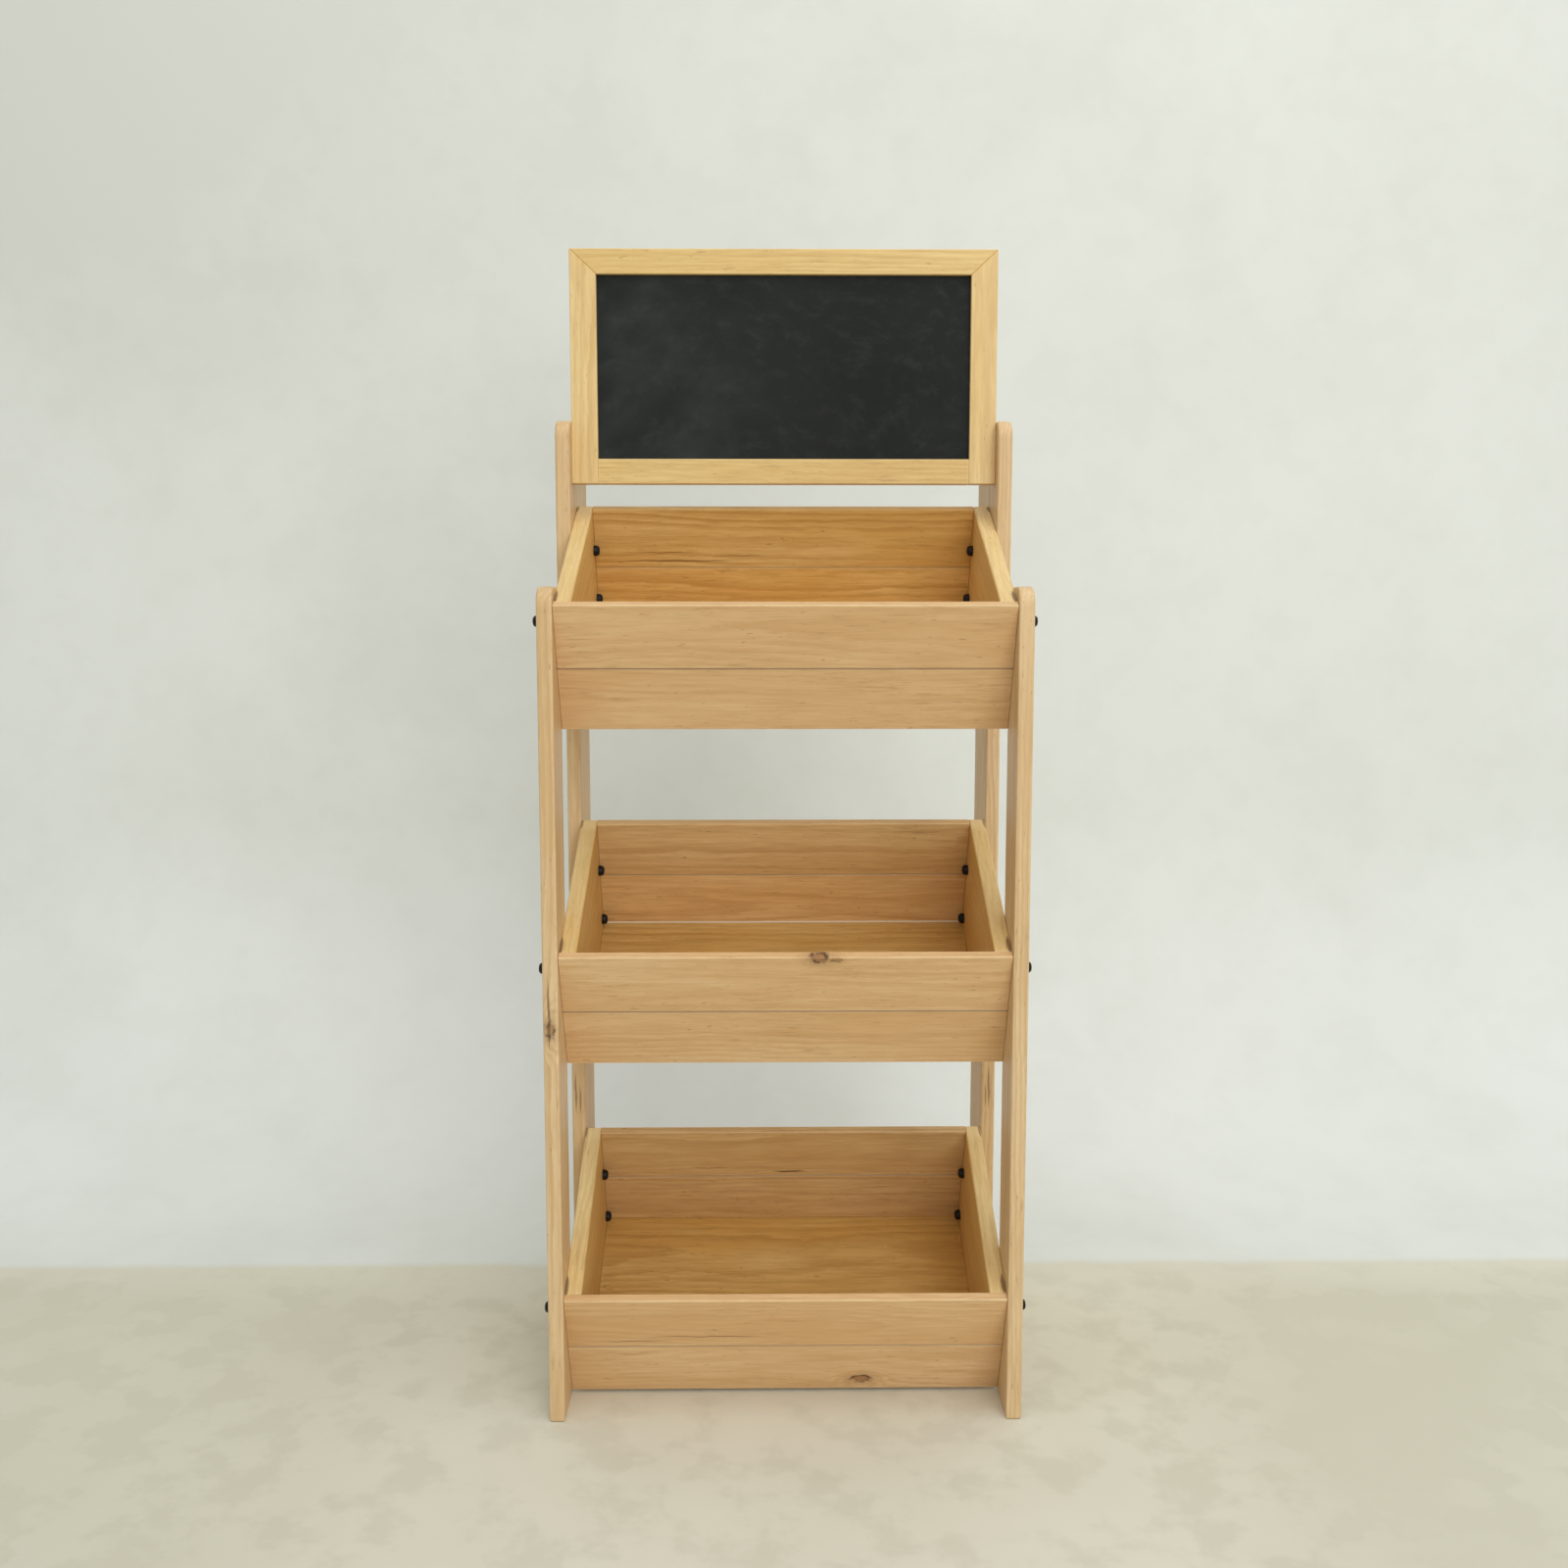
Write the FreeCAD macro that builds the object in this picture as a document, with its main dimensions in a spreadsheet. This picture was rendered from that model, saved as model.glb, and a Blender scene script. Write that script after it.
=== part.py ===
import FreeCAD, Part
import math
import os

V = FreeCAD.Vector
doc = FreeCAD.newDocument("DisplayStand")

# ---------------------------------------------------------------------------
# Driving dimensions, millimetres and degrees.
# Heights are above the floor. "front" distances run back from the front face
# of the front legs. Distances inside a bin run along its own tilted axes:
# "depth" from the outer face of its front panel, "rise" up from its underside.
# ---------------------------------------------------------------------------
DRIVING = [
    ("overall_width", 500, "outer faces of the two front legs"),
    ("leg_thick", 16, "thickness of front legs, posts and back legs"),
    ("front_leg_width", 66, "front leg, front to back"),
    ("front_leg_height", 878, "front leg, floor to rounded top"),
    ("leg_edge_margin", 5.9, "front edge of a back leg ahead of its foremost screw"),
    ("back_leg_width", 94, "back leg, front to back"),
    ("back_leg_height", 1030, "back leg, floor to top"),
    ("post_width", 58, "header post, front to back"),
    ("post_foot", 830, "lower end of the header posts"),
    ("post_top", 1062, "rounded top of the header posts"),
    ("top_round", 20, "corner radius on the tops of legs and posts"),
    ("leg_round", 2.5, "rounding along the edges of legs and posts"),
    ("edge_ease", 1.2, "chamfer along the edges of thick boards"),
    ("slat_ease", 0.8, "chamfer along the edges of slats and bases"),
    ("bin_tilt", 25, "forward tilt of every bin"),
    ("bin_setback", 2, "top edge of a front panel behind the leg faces"),
    ("top_bin_lip", 859, "height of the front lip of the top bin"),
    ("middle_bin_lip", 500, "height of the front lip of the middle bin"),
    ("bottom_bin_lip", 132, "height of the front lip of the bottom bin"),
    ("slat_height", 71, "width of each slat in front and back panels"),
    ("slat_thick", 10, "thickness of the slats"),
    ("bin_depth", 248, "outside depth of a bin"),
    ("side_thick", 18, "thickness of the bin side boards"),
    ("base_thick", 10, "thickness of the bin base board"),
    ("shank_diameter", 5, "screw shank"),
    ("shank_length", 30, "screw length under the head"),
    ("hole_clearance", 0.3, "gap round and beyond each screw shank"),
    ("head_diameter", 12, "screw head at its base"),
    ("head_crown", 8, "screw head at its crown"),
    ("head_rim", 2.5, "straight part of the screw head"),
    ("head_dome", 4, "tapered part of the screw head"),
    ("front_screw_depth", 14, "front screws, depth in the bin"),
    ("back_screw_inset", 10, "back screws in front of the back panel's face"),
    ("front_upper_drop", 24, "upper front screw below the lip"),
    ("front_lower_drop", 86, "lower front screw below the lip"),
    ("top_screw_lift", 36, "lower back screw above the base board, top bin"),
    ("middle_screw_lift", 14, "lower back screw above the base board, middle bin"),
    ("bottom_screw_lift", 14, "lower back screw above the base board, bottom bin"),
    ("top_screw_spacing", 60, "between the two back screws of a side, top bin"),
    ("middle_screw_spacing", 70, "between the two back screws of a side, middle bin"),
    ("bottom_screw_spacing", 70, "between the two back screws of a side, bottom bin"),
    ("sign_foot", 994, "underside of the chalkboard frame"),
    ("sign_height", 252, "chalkboard frame, bottom to top"),
    ("sign_thick", 18, "chalkboard frame, front to back"),
    ("sign_setback", 18, "frame face behind the faces of the posts"),
    ("stile_width", 29, "face width of the frame stiles"),
    ("rail_width", 27, "face width of the frame rails"),
    ("rebate_width", 8, "rebate in the frame, across the face"),
    ("rebate_depth", 12, "rebate in the frame, from the back"),
    ("panel_thick", 4, "chalkboard sheet"),
    ("panel_clearance", 0.3, "gap round the edge of the chalkboard sheet"),
]

DERIVED = [
    ("half_width", "overall_width / 2"),
    ("inner_width", "overall_width - 2 * leg_thick"),
    ("inner_half", "inner_width / 2"),
    ("front_height", "2 * slat_height"),
    ("back_height", "2 * slat_height + base_thick"),
    ("back_inner_depth", "bin_depth - slat_thick"),
    ("bin_inside_width", "inner_width - 2 * side_thick"),
    ("bin_inside_half", "bin_inside_width / 2"),
    ("tilt_cos", "cos(bin_tilt * 1deg)"),
    ("tilt_sin", "sin(bin_tilt * 1deg)"),
    ("bin_front", "bin_setback + front_height * tilt_sin"),
    ("bin_drop", "front_height * tilt_cos"),
    ("top_bin_foot", "top_bin_lip - bin_drop"),
    ("middle_bin_foot", "middle_bin_lip - bin_drop"),
    ("bottom_bin_foot", "bottom_bin_lip - bin_drop"),
    ("hole_radius", "shank_diameter / 2 + hole_clearance"),
    ("pilot_side", "shank_length - leg_thick + hole_clearance"),
    ("pilot_leg", "shank_length - side_thick + hole_clearance"),
    ("panel_width", "inner_width - 2 * (stile_width - rebate_width + panel_clearance)"),
    ("panel_height", "sign_height - 2 * (rail_width - rebate_width + panel_clearance)"),
    ("panel_foot", "sign_foot + rail_width - rebate_width + panel_clearance"),
]

# Each screw position: rise inside the bin, distance back and height above the
# lower front edge of the bin.
DERIVED.append(("back_screw_depth", "back_inner_depth - back_screw_inset"))
TIERS = ("top", "middle", "bottom")
for tier in TIERS:
    for spot, depth, formula in (
        ("front_upper", "front_screw_depth", "front_height - front_upper_drop"),
        ("front_lower", "front_screw_depth", "front_height - front_lower_drop"),
        ("back_upper", "back_screw_depth", "base_thick + %s_screw_lift + %s_screw_spacing" % (tier, tier)),
        ("back_lower", "back_screw_depth", "base_thick + %s_screw_lift" % tier),
    ):
        start = "%s_%s" % (tier, spot)
        rise = start + "_rise"
        DERIVED.append((rise, formula))
        DERIVED.append((start + "_back", "bin_front + %s * tilt_cos - %s * tilt_sin" % (depth, rise)))
        DERIVED.append((start + "_lift", "%s * tilt_sin + %s * tilt_cos" % (depth, rise)))

# The back legs follow the foremost of their screws, and the posts and sign follow the legs.
DERIVED += [
    ("back_leg_front", "top_back_upper_back - leg_edge_margin"),
    ("half_depth", "(back_leg_front + back_leg_width) / 2"),
    ("post_front", "back_leg_front - post_width"),
    ("sign_back", "post_front + sign_setback + sign_thick"),
    ("panel_back", "sign_back - rebate_depth + panel_thick"),
]

sheet = doc.addObject("Spreadsheet::Sheet", "Dims")
row = 1
for alias, value, note in DRIVING:
    sheet.set("A%d" % row, note)
    sheet.set("B%d" % row, str(value))
    sheet.setAlias("B%d" % row, alias)
    row += 1
for alias, formula in DERIVED:
    sheet.set("A%d" % row, "worked out: " + alias.replace("_", " "))
    sheet.set("B%d" % row, "=" + formula)
    sheet.setAlias("B%d" % row, alias)
    row += 1
doc.recompute()

NAMES = sorted([entry[0] for entry in DRIVING] + [entry[0] for entry in DERIVED], key=len, reverse=True)
SPOTS_FRONT = ("front_upper", "front_lower")
SPOTS_BACK = ("back_upper", "back_lower")
LEFT, RIGHT = -1, 1
SIDE_NAME = {LEFT: "left", RIGHT: "right"}
pieces = []
expected_volume = {}


def dim(name):
    """Number held by one cell of the sheet."""
    return float(getattr(sheet, name))


def bound(formula):
    """The formula with every sheet name written as Dims.name."""
    words = []
    word = ""
    for letter in formula + " ":
        if letter.isalnum() or letter in "_.":
            word += letter
            continue
        words.append("Dims." + word if word in NAMES else word)
        words.append(letter)
        word = ""
    return "".join(words).strip()


def value(formula):
    """Number a formula of sheet names comes to."""
    total = 0.0
    sign = 1
    for word in formula.split():
        if word in "+-":
            sign = 1 if word == "+" else -1
            continue
        factor = 1.0
        for part in word.split("*"):
            factor *= dim(part) if part in NAMES else float(part)
        total += sign * factor
    return total


def new_body(name, plane):
    """A body and a sketch fixed to one of its own origin planes."""
    body = doc.addObject("PartDesign::Body", name)
    body.Label = name
    sketch = body.newObject("Sketcher::SketchObject", name + "_outline")
    attach(body, sketch, plane)
    return body, sketch


def attach(body, sketch, plane):
    """Fix a sketch to the body's origin plane of this role."""
    for item in body.Origin.OriginFeatures:
        if item.Role == plane:
            sketch.AttachmentSupport = [(item, "")]
    sketch.MapMode = "FlatFace"


def polygon(sketch, corners):
    """Closed outline whose corners are pairs of formulas."""
    from Sketcher import Constraint
    points = [V(value(across), value(up), 0) for across, up in corners]
    count = len(points)
    first = sketch.GeometryCount
    for index in range(count):
        sketch.addGeometry(Part.LineSegment(points[index], points[(index + 1) % count]), False)
    for index in range(count):
        sketch.addConstraint(Constraint("Coincident", first + index, 2, first + (index + 1) % count, 1))
    for index, (across, up) in enumerate(corners):
        place_point(sketch, first + index, 1, across, up)


def place_point(sketch, element, end, across, up):
    """Hold one sketch point at a pair of formulas from the sketch origin."""
    from Sketcher import Constraint
    for kind, formula, axis in (("DistanceX", across, -2), ("DistanceY", up, -1)):
        size = value(formula)
        if abs(size) < 1e-9:
            sketch.addConstraint(Constraint("PointOnObject", element, end, axis))
            continue
        number = sketch.addConstraint(Constraint(kind, -1, 1, element, end, size))
        sketch.setExpression("Constraints[%d]" % number, bound(formula))


def circle(sketch, across, up, radius):
    """Circle held at a pair of formulas with a bound radius."""
    from Sketcher import Constraint
    centre = V(value(across), value(up), 0)
    element = sketch.addGeometry(Part.Circle(centre, V(0, 0, 1), value(radius)), False)
    number = sketch.addConstraint(Constraint("Radius", element, value(radius)))
    sketch.setExpression("Constraints[%d]" % number, bound(radius))
    place_point(sketch, element, 3, across, up)


def pad(body, sketch, length, toward=1, both=False):
    """Pad along the sketch normal, against it, or to both sides."""
    feature = body.newObject("PartDesign::Pad", body.Name + "_pad")
    feature.Profile = sketch
    feature.Length = value(length)
    feature.setExpression("Length", bound(length))
    if both:
        feature.Midplane = True
    elif toward < 0:
        feature.Reversed = True
    sketch.Visibility = False
    body.Tip = feature
    doc.recompute()
    return feature


def pocket(body, sketch, depth, toward):
    """Pocket of a given depth, or straight through when depth is None."""
    before = body.Shape.Volume
    feature = body.newObject("PartDesign::Pocket", sketch.Name + "_cut")
    feature.Profile = sketch
    if depth is None:
        feature.Type = "ThroughAll"
        feature.Midplane = True
    else:
        feature.Length = value(depth)
        feature.setExpression("Length", bound(depth))
        feature.Reversed = toward > 0
    sketch.Visibility = False
    body.Tip = feature
    doc.recompute()
    if not body.Shape.Volume < before - 1:
        raise RuntimeError("%s took nothing away" % sketch.Name)
    return feature


def long_edges(shape, axis, keep):
    """Names of straight edges along one axis whose middle passes a test."""
    names = []
    for number, edge in enumerate(shape.Edges, 1):
        run = edge.Vertexes[-1].Point - edge.Vertexes[0].Point
        if run.Length < 1e-6 or abs(run.dot(axis)) < 0.999 * run.Length:
            continue
        if keep((edge.Vertexes[-1].Point + edge.Vertexes[0].Point) / 2):
            names.append("Edge%d" % number)
    return names


def round_top(body, base, height, radius):
    """Round the two top corners of an upright board."""
    level = value(height)
    feature = body.newObject("PartDesign::Fillet", body.Name + "_round")
    feature.Base = (base, long_edges(base.Shape, V(1, 0, 0), lambda p: p.z > level - 0.01))
    feature.Radius = value(radius)
    feature.setExpression("Radius", bound(radius))
    body.Tip = feature
    doc.recompute()
    return feature


def ease(body, base, size, kind="Chamfer"):
    """Chamfer or fillet every edge of the piece."""
    names = ["Edge%d" % number for number in range(1, len(base.Shape.Edges) + 1)]
    feature = body.newObject("PartDesign::" + kind, body.Name + "_ease")
    feature.Base = (base, names)
    reach = "Size" if kind == "Chamfer" else "Radius"
    setattr(feature, reach, value(size))
    feature.setExpression(reach, bound(size))
    body.Tip = feature
    doc.recompute()
    return feature


def place(thing, across, back, up, turn=None, about=V(1, 0, 0)):
    """Bind the placement; back runs from the front face of the front legs."""
    angle = value(turn) if turn else 0
    thing.Placement = FreeCAD.Placement(V(0, 0, 0), FreeCAD.Rotation(about, angle))
    thing.setExpression("Placement.Base.x", bound(across))
    thing.setExpression("Placement.Base.y", bound(back + " - half_depth"))
    thing.setExpression("Placement.Base.z", bound(up))
    if turn:
        thing.setExpression("Placement.Rotation.Angle", bound(turn) + " * 1deg")


def place_in_bin(body, tier, across="0"):
    """Bind the placement to the tilted frame of one bin."""
    place(body, across, "bin_front", tier + "_bin_foot", "bin_tilt")


def keep(body):
    """List a finished piece for writing."""
    pieces.append(body)


# ---------------------------------------------------------------------------
# Upright boards
# ---------------------------------------------------------------------------
def upright(name, side, width, foot, top, front, through=(), blind=()):
    """Leg or post: inner face at local zero, padded outwards."""
    body, outline = new_body(name, "YZ_Plane")
    height = top if foot == "0" else top + " - " + foot
    polygon(outline, [("0", "0"), (width, "0"), (width, height), ("0", height)])
    board = pad(body, outline, "leg_thick", side)
    board = round_top(body, board, height, "top_round")
    ease(body, board, "leg_round", "Fillet")
    for label, spots, depth in (("_screw_holes", through, None), ("_pilot_holes", blind, "pilot_leg")):
        if not spots:
            continue
        holes = body.newObject("Sketcher::SketchObject", name + label)
        attach(body, holes, "YZ_Plane")
        for back, up in spots:
            circle(holes, back, up, "hole_radius")
        pocket(body, holes, depth, side)
    place(body, "%d*inner_half" % side, front, foot)
    keep(body)


def spots_on_leg(spots, front):
    """Screw positions of all bins on a leg, from its own front edge."""
    found = []
    for tier in TIERS:
        for spot in spots:
            start = "%s_%s" % (tier, spot)
            back = start + "_back" if front == "0" else start + "_back - " + front
            found.append((back, "%s_bin_foot + %s_lift" % (tier, start)))
    return found


for side in (LEFT, RIGHT):
    upright(
        SIDE_NAME[side] + "_front_leg", side, "front_leg_width", "0", "front_leg_height", "0",
        through=spots_on_leg(SPOTS_FRONT, "0"),
    )
    upright(
        SIDE_NAME[side] + "_back_leg", side, "back_leg_width", "0", "back_leg_height", "back_leg_front",
        blind=spots_on_leg(SPOTS_BACK, "back_leg_front"),
    )
    upright(
        SIDE_NAME[side] + "_header_post", side, "post_width", "post_foot", "post_top", "post_front",
    )


# ---------------------------------------------------------------------------
# Bins
# ---------------------------------------------------------------------------
def slat(name, tier, depth, rise, length):
    """One slat of a front or back panel."""
    body, outline = new_body(name, "YZ_Plane")
    far = depth + " + slat_thick"
    high = rise + " + slat_height"
    polygon(outline, [(depth, rise), (far, rise), (far, high), (depth, high)])
    board = pad(body, outline, length, both=True)
    ease(body, board, "slat_ease")
    place_in_bin(body, tier)
    keep(body)


def side_board(name, tier, side):
    """Side board: outer face at local zero, padded towards the middle."""
    body, outline = new_body(name, "YZ_Plane")
    polygon(outline, [
        ("slat_thick", "0"),
        ("bin_depth", "0"),
        ("bin_depth", "back_height"),
        ("slat_thick", "front_height"),
    ])
    board = pad(body, outline, "side_thick", -side)
    ease(body, board, "edge_ease")
    pilots = body.newObject("Sketcher::SketchObject", name + "_pilot_holes")
    attach(body, pilots, "YZ_Plane")
    for spot in SPOTS_FRONT:
        circle(pilots, "front_screw_depth", "%s_%s_rise" % (tier, spot), "hole_radius")
    pocket(body, pilots, "pilot_side", -side)
    holes = body.newObject("Sketcher::SketchObject", name + "_screw_holes")
    attach(body, holes, "YZ_Plane")
    for spot in SPOTS_BACK:
        circle(holes, "back_screw_depth", "%s_%s_rise" % (tier, spot), "hole_radius")
    pocket(body, holes, None, 0)
    place_in_bin(body, tier, "%d*inner_half" % side)
    keep(body)


def base_board(name, tier):
    """Floor of a bin, between the side boards and under the back panel."""
    body, outline = new_body(name, "YZ_Plane")
    polygon(outline, [
        ("slat_thick", "0"),
        ("bin_depth", "0"),
        ("bin_depth", "base_thick"),
        ("slat_thick", "base_thick"),
    ])
    board = pad(body, outline, "bin_inside_width", both=True)
    ease(body, board, "slat_ease")
    place_in_bin(body, tier)
    keep(body)


for tier in TIERS:
    slat(tier + "_front_slat_upper", tier, "0", "slat_height", "inner_width")
    slat(tier + "_front_slat_lower", tier, "0", "0", "inner_width")
    slat(tier + "_back_slat_upper", tier, "back_inner_depth", "base_thick + slat_height", "bin_inside_width")
    slat(tier + "_back_slat_lower", tier, "back_inner_depth", "base_thick", "bin_inside_width")
    for side in (LEFT, RIGHT):
        side_board("%s_side_%s" % (tier, SIDE_NAME[side]), tier, side)
    base_board(tier + "_base", tier)


# ---------------------------------------------------------------------------
# Screws: a straight shank and a low tapered head, made as primitives
# ---------------------------------------------------------------------------
def turned(kind, name, sizes, across, back, up, direction):
    """Primitive laid along X, its own axis pointing in the given direction."""
    item = doc.addObject(kind, name)
    for attribute, formula in sizes:
        setattr(item, attribute, value(formula))
        item.setExpression(attribute, bound(formula))
    item.Placement = FreeCAD.Placement(V(0, 0, 0), FreeCAD.Rotation(V(0, 1, 0), 90 * direction))
    item.setExpression("Placement.Base.x", bound(across))
    item.setExpression("Placement.Base.y", bound(back + " - half_depth"))
    item.setExpression("Placement.Base.z", bound(up))
    return item


def screw(name, face, back, up, outward):
    """One screw: its head sits on the plane x = face and looks outward."""
    shank = turned(
        "Part::Cylinder", name + "_shank",
        [("Radius", "0.5*shank_diameter"), ("Height", "shank_length")],
        face, back, up, -outward,
    )
    rim = turned(
        "Part::Cylinder", name + "_rim",
        [("Radius", "0.5*head_diameter"), ("Height", "head_rim")],
        face, back, up, outward,
    )
    dome = turned(
        "Part::Cone", name + "_dome",
        [("Radius1", "0.5*head_diameter"), ("Radius2", "0.5*head_crown"), ("Height", "head_dome")],
        "%s + %d*head_rim" % (face, outward), back, up, outward,
    )
    whole = doc.addObject("Part::MultiFuse", name)
    whole.Shapes = [shank, rim, dome]
    return whole


for tier in TIERS:
    for group, spots, half, facing in (
        ("front_screws", SPOTS_FRONT, "half_width", 1),
        ("back_screws", SPOTS_BACK, "bin_inside_half", -1),
    ):
        node = "%s_%s" % (tier, group)
        members = []
        for side in (LEFT, RIGHT):
            for spot in spots:
                members.append(screw(
                    "%s_%s_%s" % (node, SIDE_NAME[side], spot.split("_")[1]),
                    "%d*%s" % (side, half),
                    "%s_%s_back" % (tier, spot),
                    "%s_bin_foot + %s_%s_lift" % (tier, tier, spot),
                    side * facing,
                ))
        bundle = doc.addObject("Part::Compound", node)
        bundle.Label = node
        bundle.Links = members
        keep(bundle)


# ---------------------------------------------------------------------------
# Chalkboard: rebated frame, mitred at the top and butted at the bottom
# ---------------------------------------------------------------------------
def frame_member(name, corners, rebate, across, up):
    """Frame piece: back face at local zero, padded forwards."""
    body, outline = new_body(name, "XZ_Plane")
    polygon(outline, corners)
    board = pad(body, outline, "sign_thick")
    ease(body, board, "slat_ease")
    groove = body.newObject("Sketcher::SketchObject", name + "_rebate")
    attach(body, groove, "XZ_Plane")
    polygon(groove, rebate)
    pocket(body, groove, "rebate_depth", 1)
    place(body, across, "sign_back", up)
    keep(body)


def box_corners(left, low, right, high):
    """Corners of a rectangle, anticlockwise."""
    return [(left, low), (right, low), (right, high), (left, high)]


frame_member(
    "sign_top_rail",
    [
        ("stile_width", "0"),
        ("inner_width - stile_width", "0"),
        ("inner_width", "rail_width"),
        ("0", "rail_width"),
    ],
    box_corners("-10", "-10", "inner_width + 10", "rebate_width"),
    "-1*inner_half", "sign_foot + sign_height - rail_width",
)
frame_member(
    "sign_bottom_rail",
    box_corners("stile_width", "0", "inner_width - stile_width", "rail_width"),
    box_corners("-10", "rail_width - rebate_width", "inner_width + 10", "rail_width + 10"),
    "-1*inner_half", "sign_foot",
)
frame_member(
    "sign_left_stile",
    [
        ("0", "0"),
        ("stile_width", "0"),
        ("stile_width", "sign_height - rail_width"),
        ("0", "sign_height"),
    ],
    box_corners(
        "stile_width - rebate_width", "rail_width - rebate_width",
        "stile_width + 10", "sign_height + 10",
    ),
    "-1*inner_half", "sign_foot",
)
frame_member(
    "sign_right_stile",
    [
        ("inner_width - stile_width", "0"),
        ("inner_width", "0"),
        ("inner_width", "sign_height"),
        ("inner_width - stile_width", "sign_height - rail_width"),
    ],
    box_corners(
        "inner_width - stile_width - 10", "rail_width - rebate_width",
        "inner_width - stile_width + rebate_width", "sign_height + 10",
    ),
    "-1*inner_half", "sign_foot",
)
panel, outline = new_body("chalkboard_panel", "XZ_Plane")
polygon(outline, box_corners("0", "0", "panel_width", "panel_height"))
pad(panel, outline, "panel_thick")
place(panel, "-0.5*panel_width", "panel_back", "panel_foot")
keep(panel)

# ---------------------------------------------------------------------------
# Checks and files
# ---------------------------------------------------------------------------
doc.recompute()
for item in doc.Objects:
    if "Invalid" in item.State or "Error" in item.State:
        raise RuntimeError("%s is %s" % (item.Name, item.State))
os.makedirs("parts", exist_ok=True)
whole = FreeCAD.BoundBox()
for piece in pieces:
    shape = piece.Shape
    if shape.isNull() or not shape.isValid() or shape.Volume < 1:
        raise RuntimeError("%s has no sound shape" % piece.Label)
    whole.add(shape.BoundBox)
    shape.exportStep("parts/%s.step" % piece.Label)
    print("%-26s %d solid(s) %10.1f mm3" % (piece.Label, len(shape.Solids), shape.Volume))
print("pieces", len(pieces))
print("box", [round(number, 2) for number in (
    whole.XMin, whole.YMin, whole.ZMin, whole.XMax, whole.YMax, whole.ZMax)])
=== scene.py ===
"""Pine display stand with tilted bins: board finishes, screws, studio and camera."""
from __future__ import annotations

import logging
import math
from dataclasses import dataclass, replace
from enum import Enum
from typing import Dict, List, Sequence, Tuple, Union

import bmesh
import bpy
import numpy as np
from mathutils import Matrix, Vector


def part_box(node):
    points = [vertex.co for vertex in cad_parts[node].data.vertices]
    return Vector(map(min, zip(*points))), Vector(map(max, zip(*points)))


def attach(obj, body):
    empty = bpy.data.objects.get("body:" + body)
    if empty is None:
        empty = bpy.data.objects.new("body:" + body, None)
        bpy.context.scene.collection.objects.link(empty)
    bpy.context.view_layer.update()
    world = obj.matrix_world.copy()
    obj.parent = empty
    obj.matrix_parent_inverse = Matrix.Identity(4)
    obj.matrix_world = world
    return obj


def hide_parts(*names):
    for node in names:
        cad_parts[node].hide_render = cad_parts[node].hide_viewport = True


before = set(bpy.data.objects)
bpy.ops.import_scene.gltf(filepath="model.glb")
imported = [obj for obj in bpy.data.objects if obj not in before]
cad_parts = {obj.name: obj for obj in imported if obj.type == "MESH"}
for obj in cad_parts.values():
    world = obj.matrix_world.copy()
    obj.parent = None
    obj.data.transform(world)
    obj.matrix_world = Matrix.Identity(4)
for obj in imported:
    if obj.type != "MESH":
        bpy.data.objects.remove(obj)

LOG = logging.getLogger("display_stand")
Colour = Tuple[float, float, float]
Source = Union[bpy.types.NodeSocket, float, Sequence[float]]
Sockets = Dict[str, bpy.types.NodeSocket]
BODY = "root"
TIERS = ("top", "middle", "bottom")
BIN_TILT = math.radians(25.0)
NOISE_MIDDLE = (0.5, 0.5, 0.5)
NUMBER = "NodeSocketFloat"
VECTOR = "NodeSocketVector"


def linear(red: int, green: int, blue: int) -> Colour:
    """Turn a display colour into the linear one that shaders take.

    Args:
        red: Red, 0 to 255.
        green: Green, 0 to 255.
        blue: Blue, 0 to 255.

    Returns:
        The same colour as three linear numbers, 0 to 1.
    """
    def one(level: int) -> float:
        """Decode one channel.

        Args:
            level: Display level, 0 to 255.

        Returns:
            Its linear value.
        """
        share = level / 255.0
        return share / 12.92 if share <= 0.04045 else ((share + 0.055) / 1.055) ** 2.4

    return (one(red), one(green), one(blue))


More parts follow.
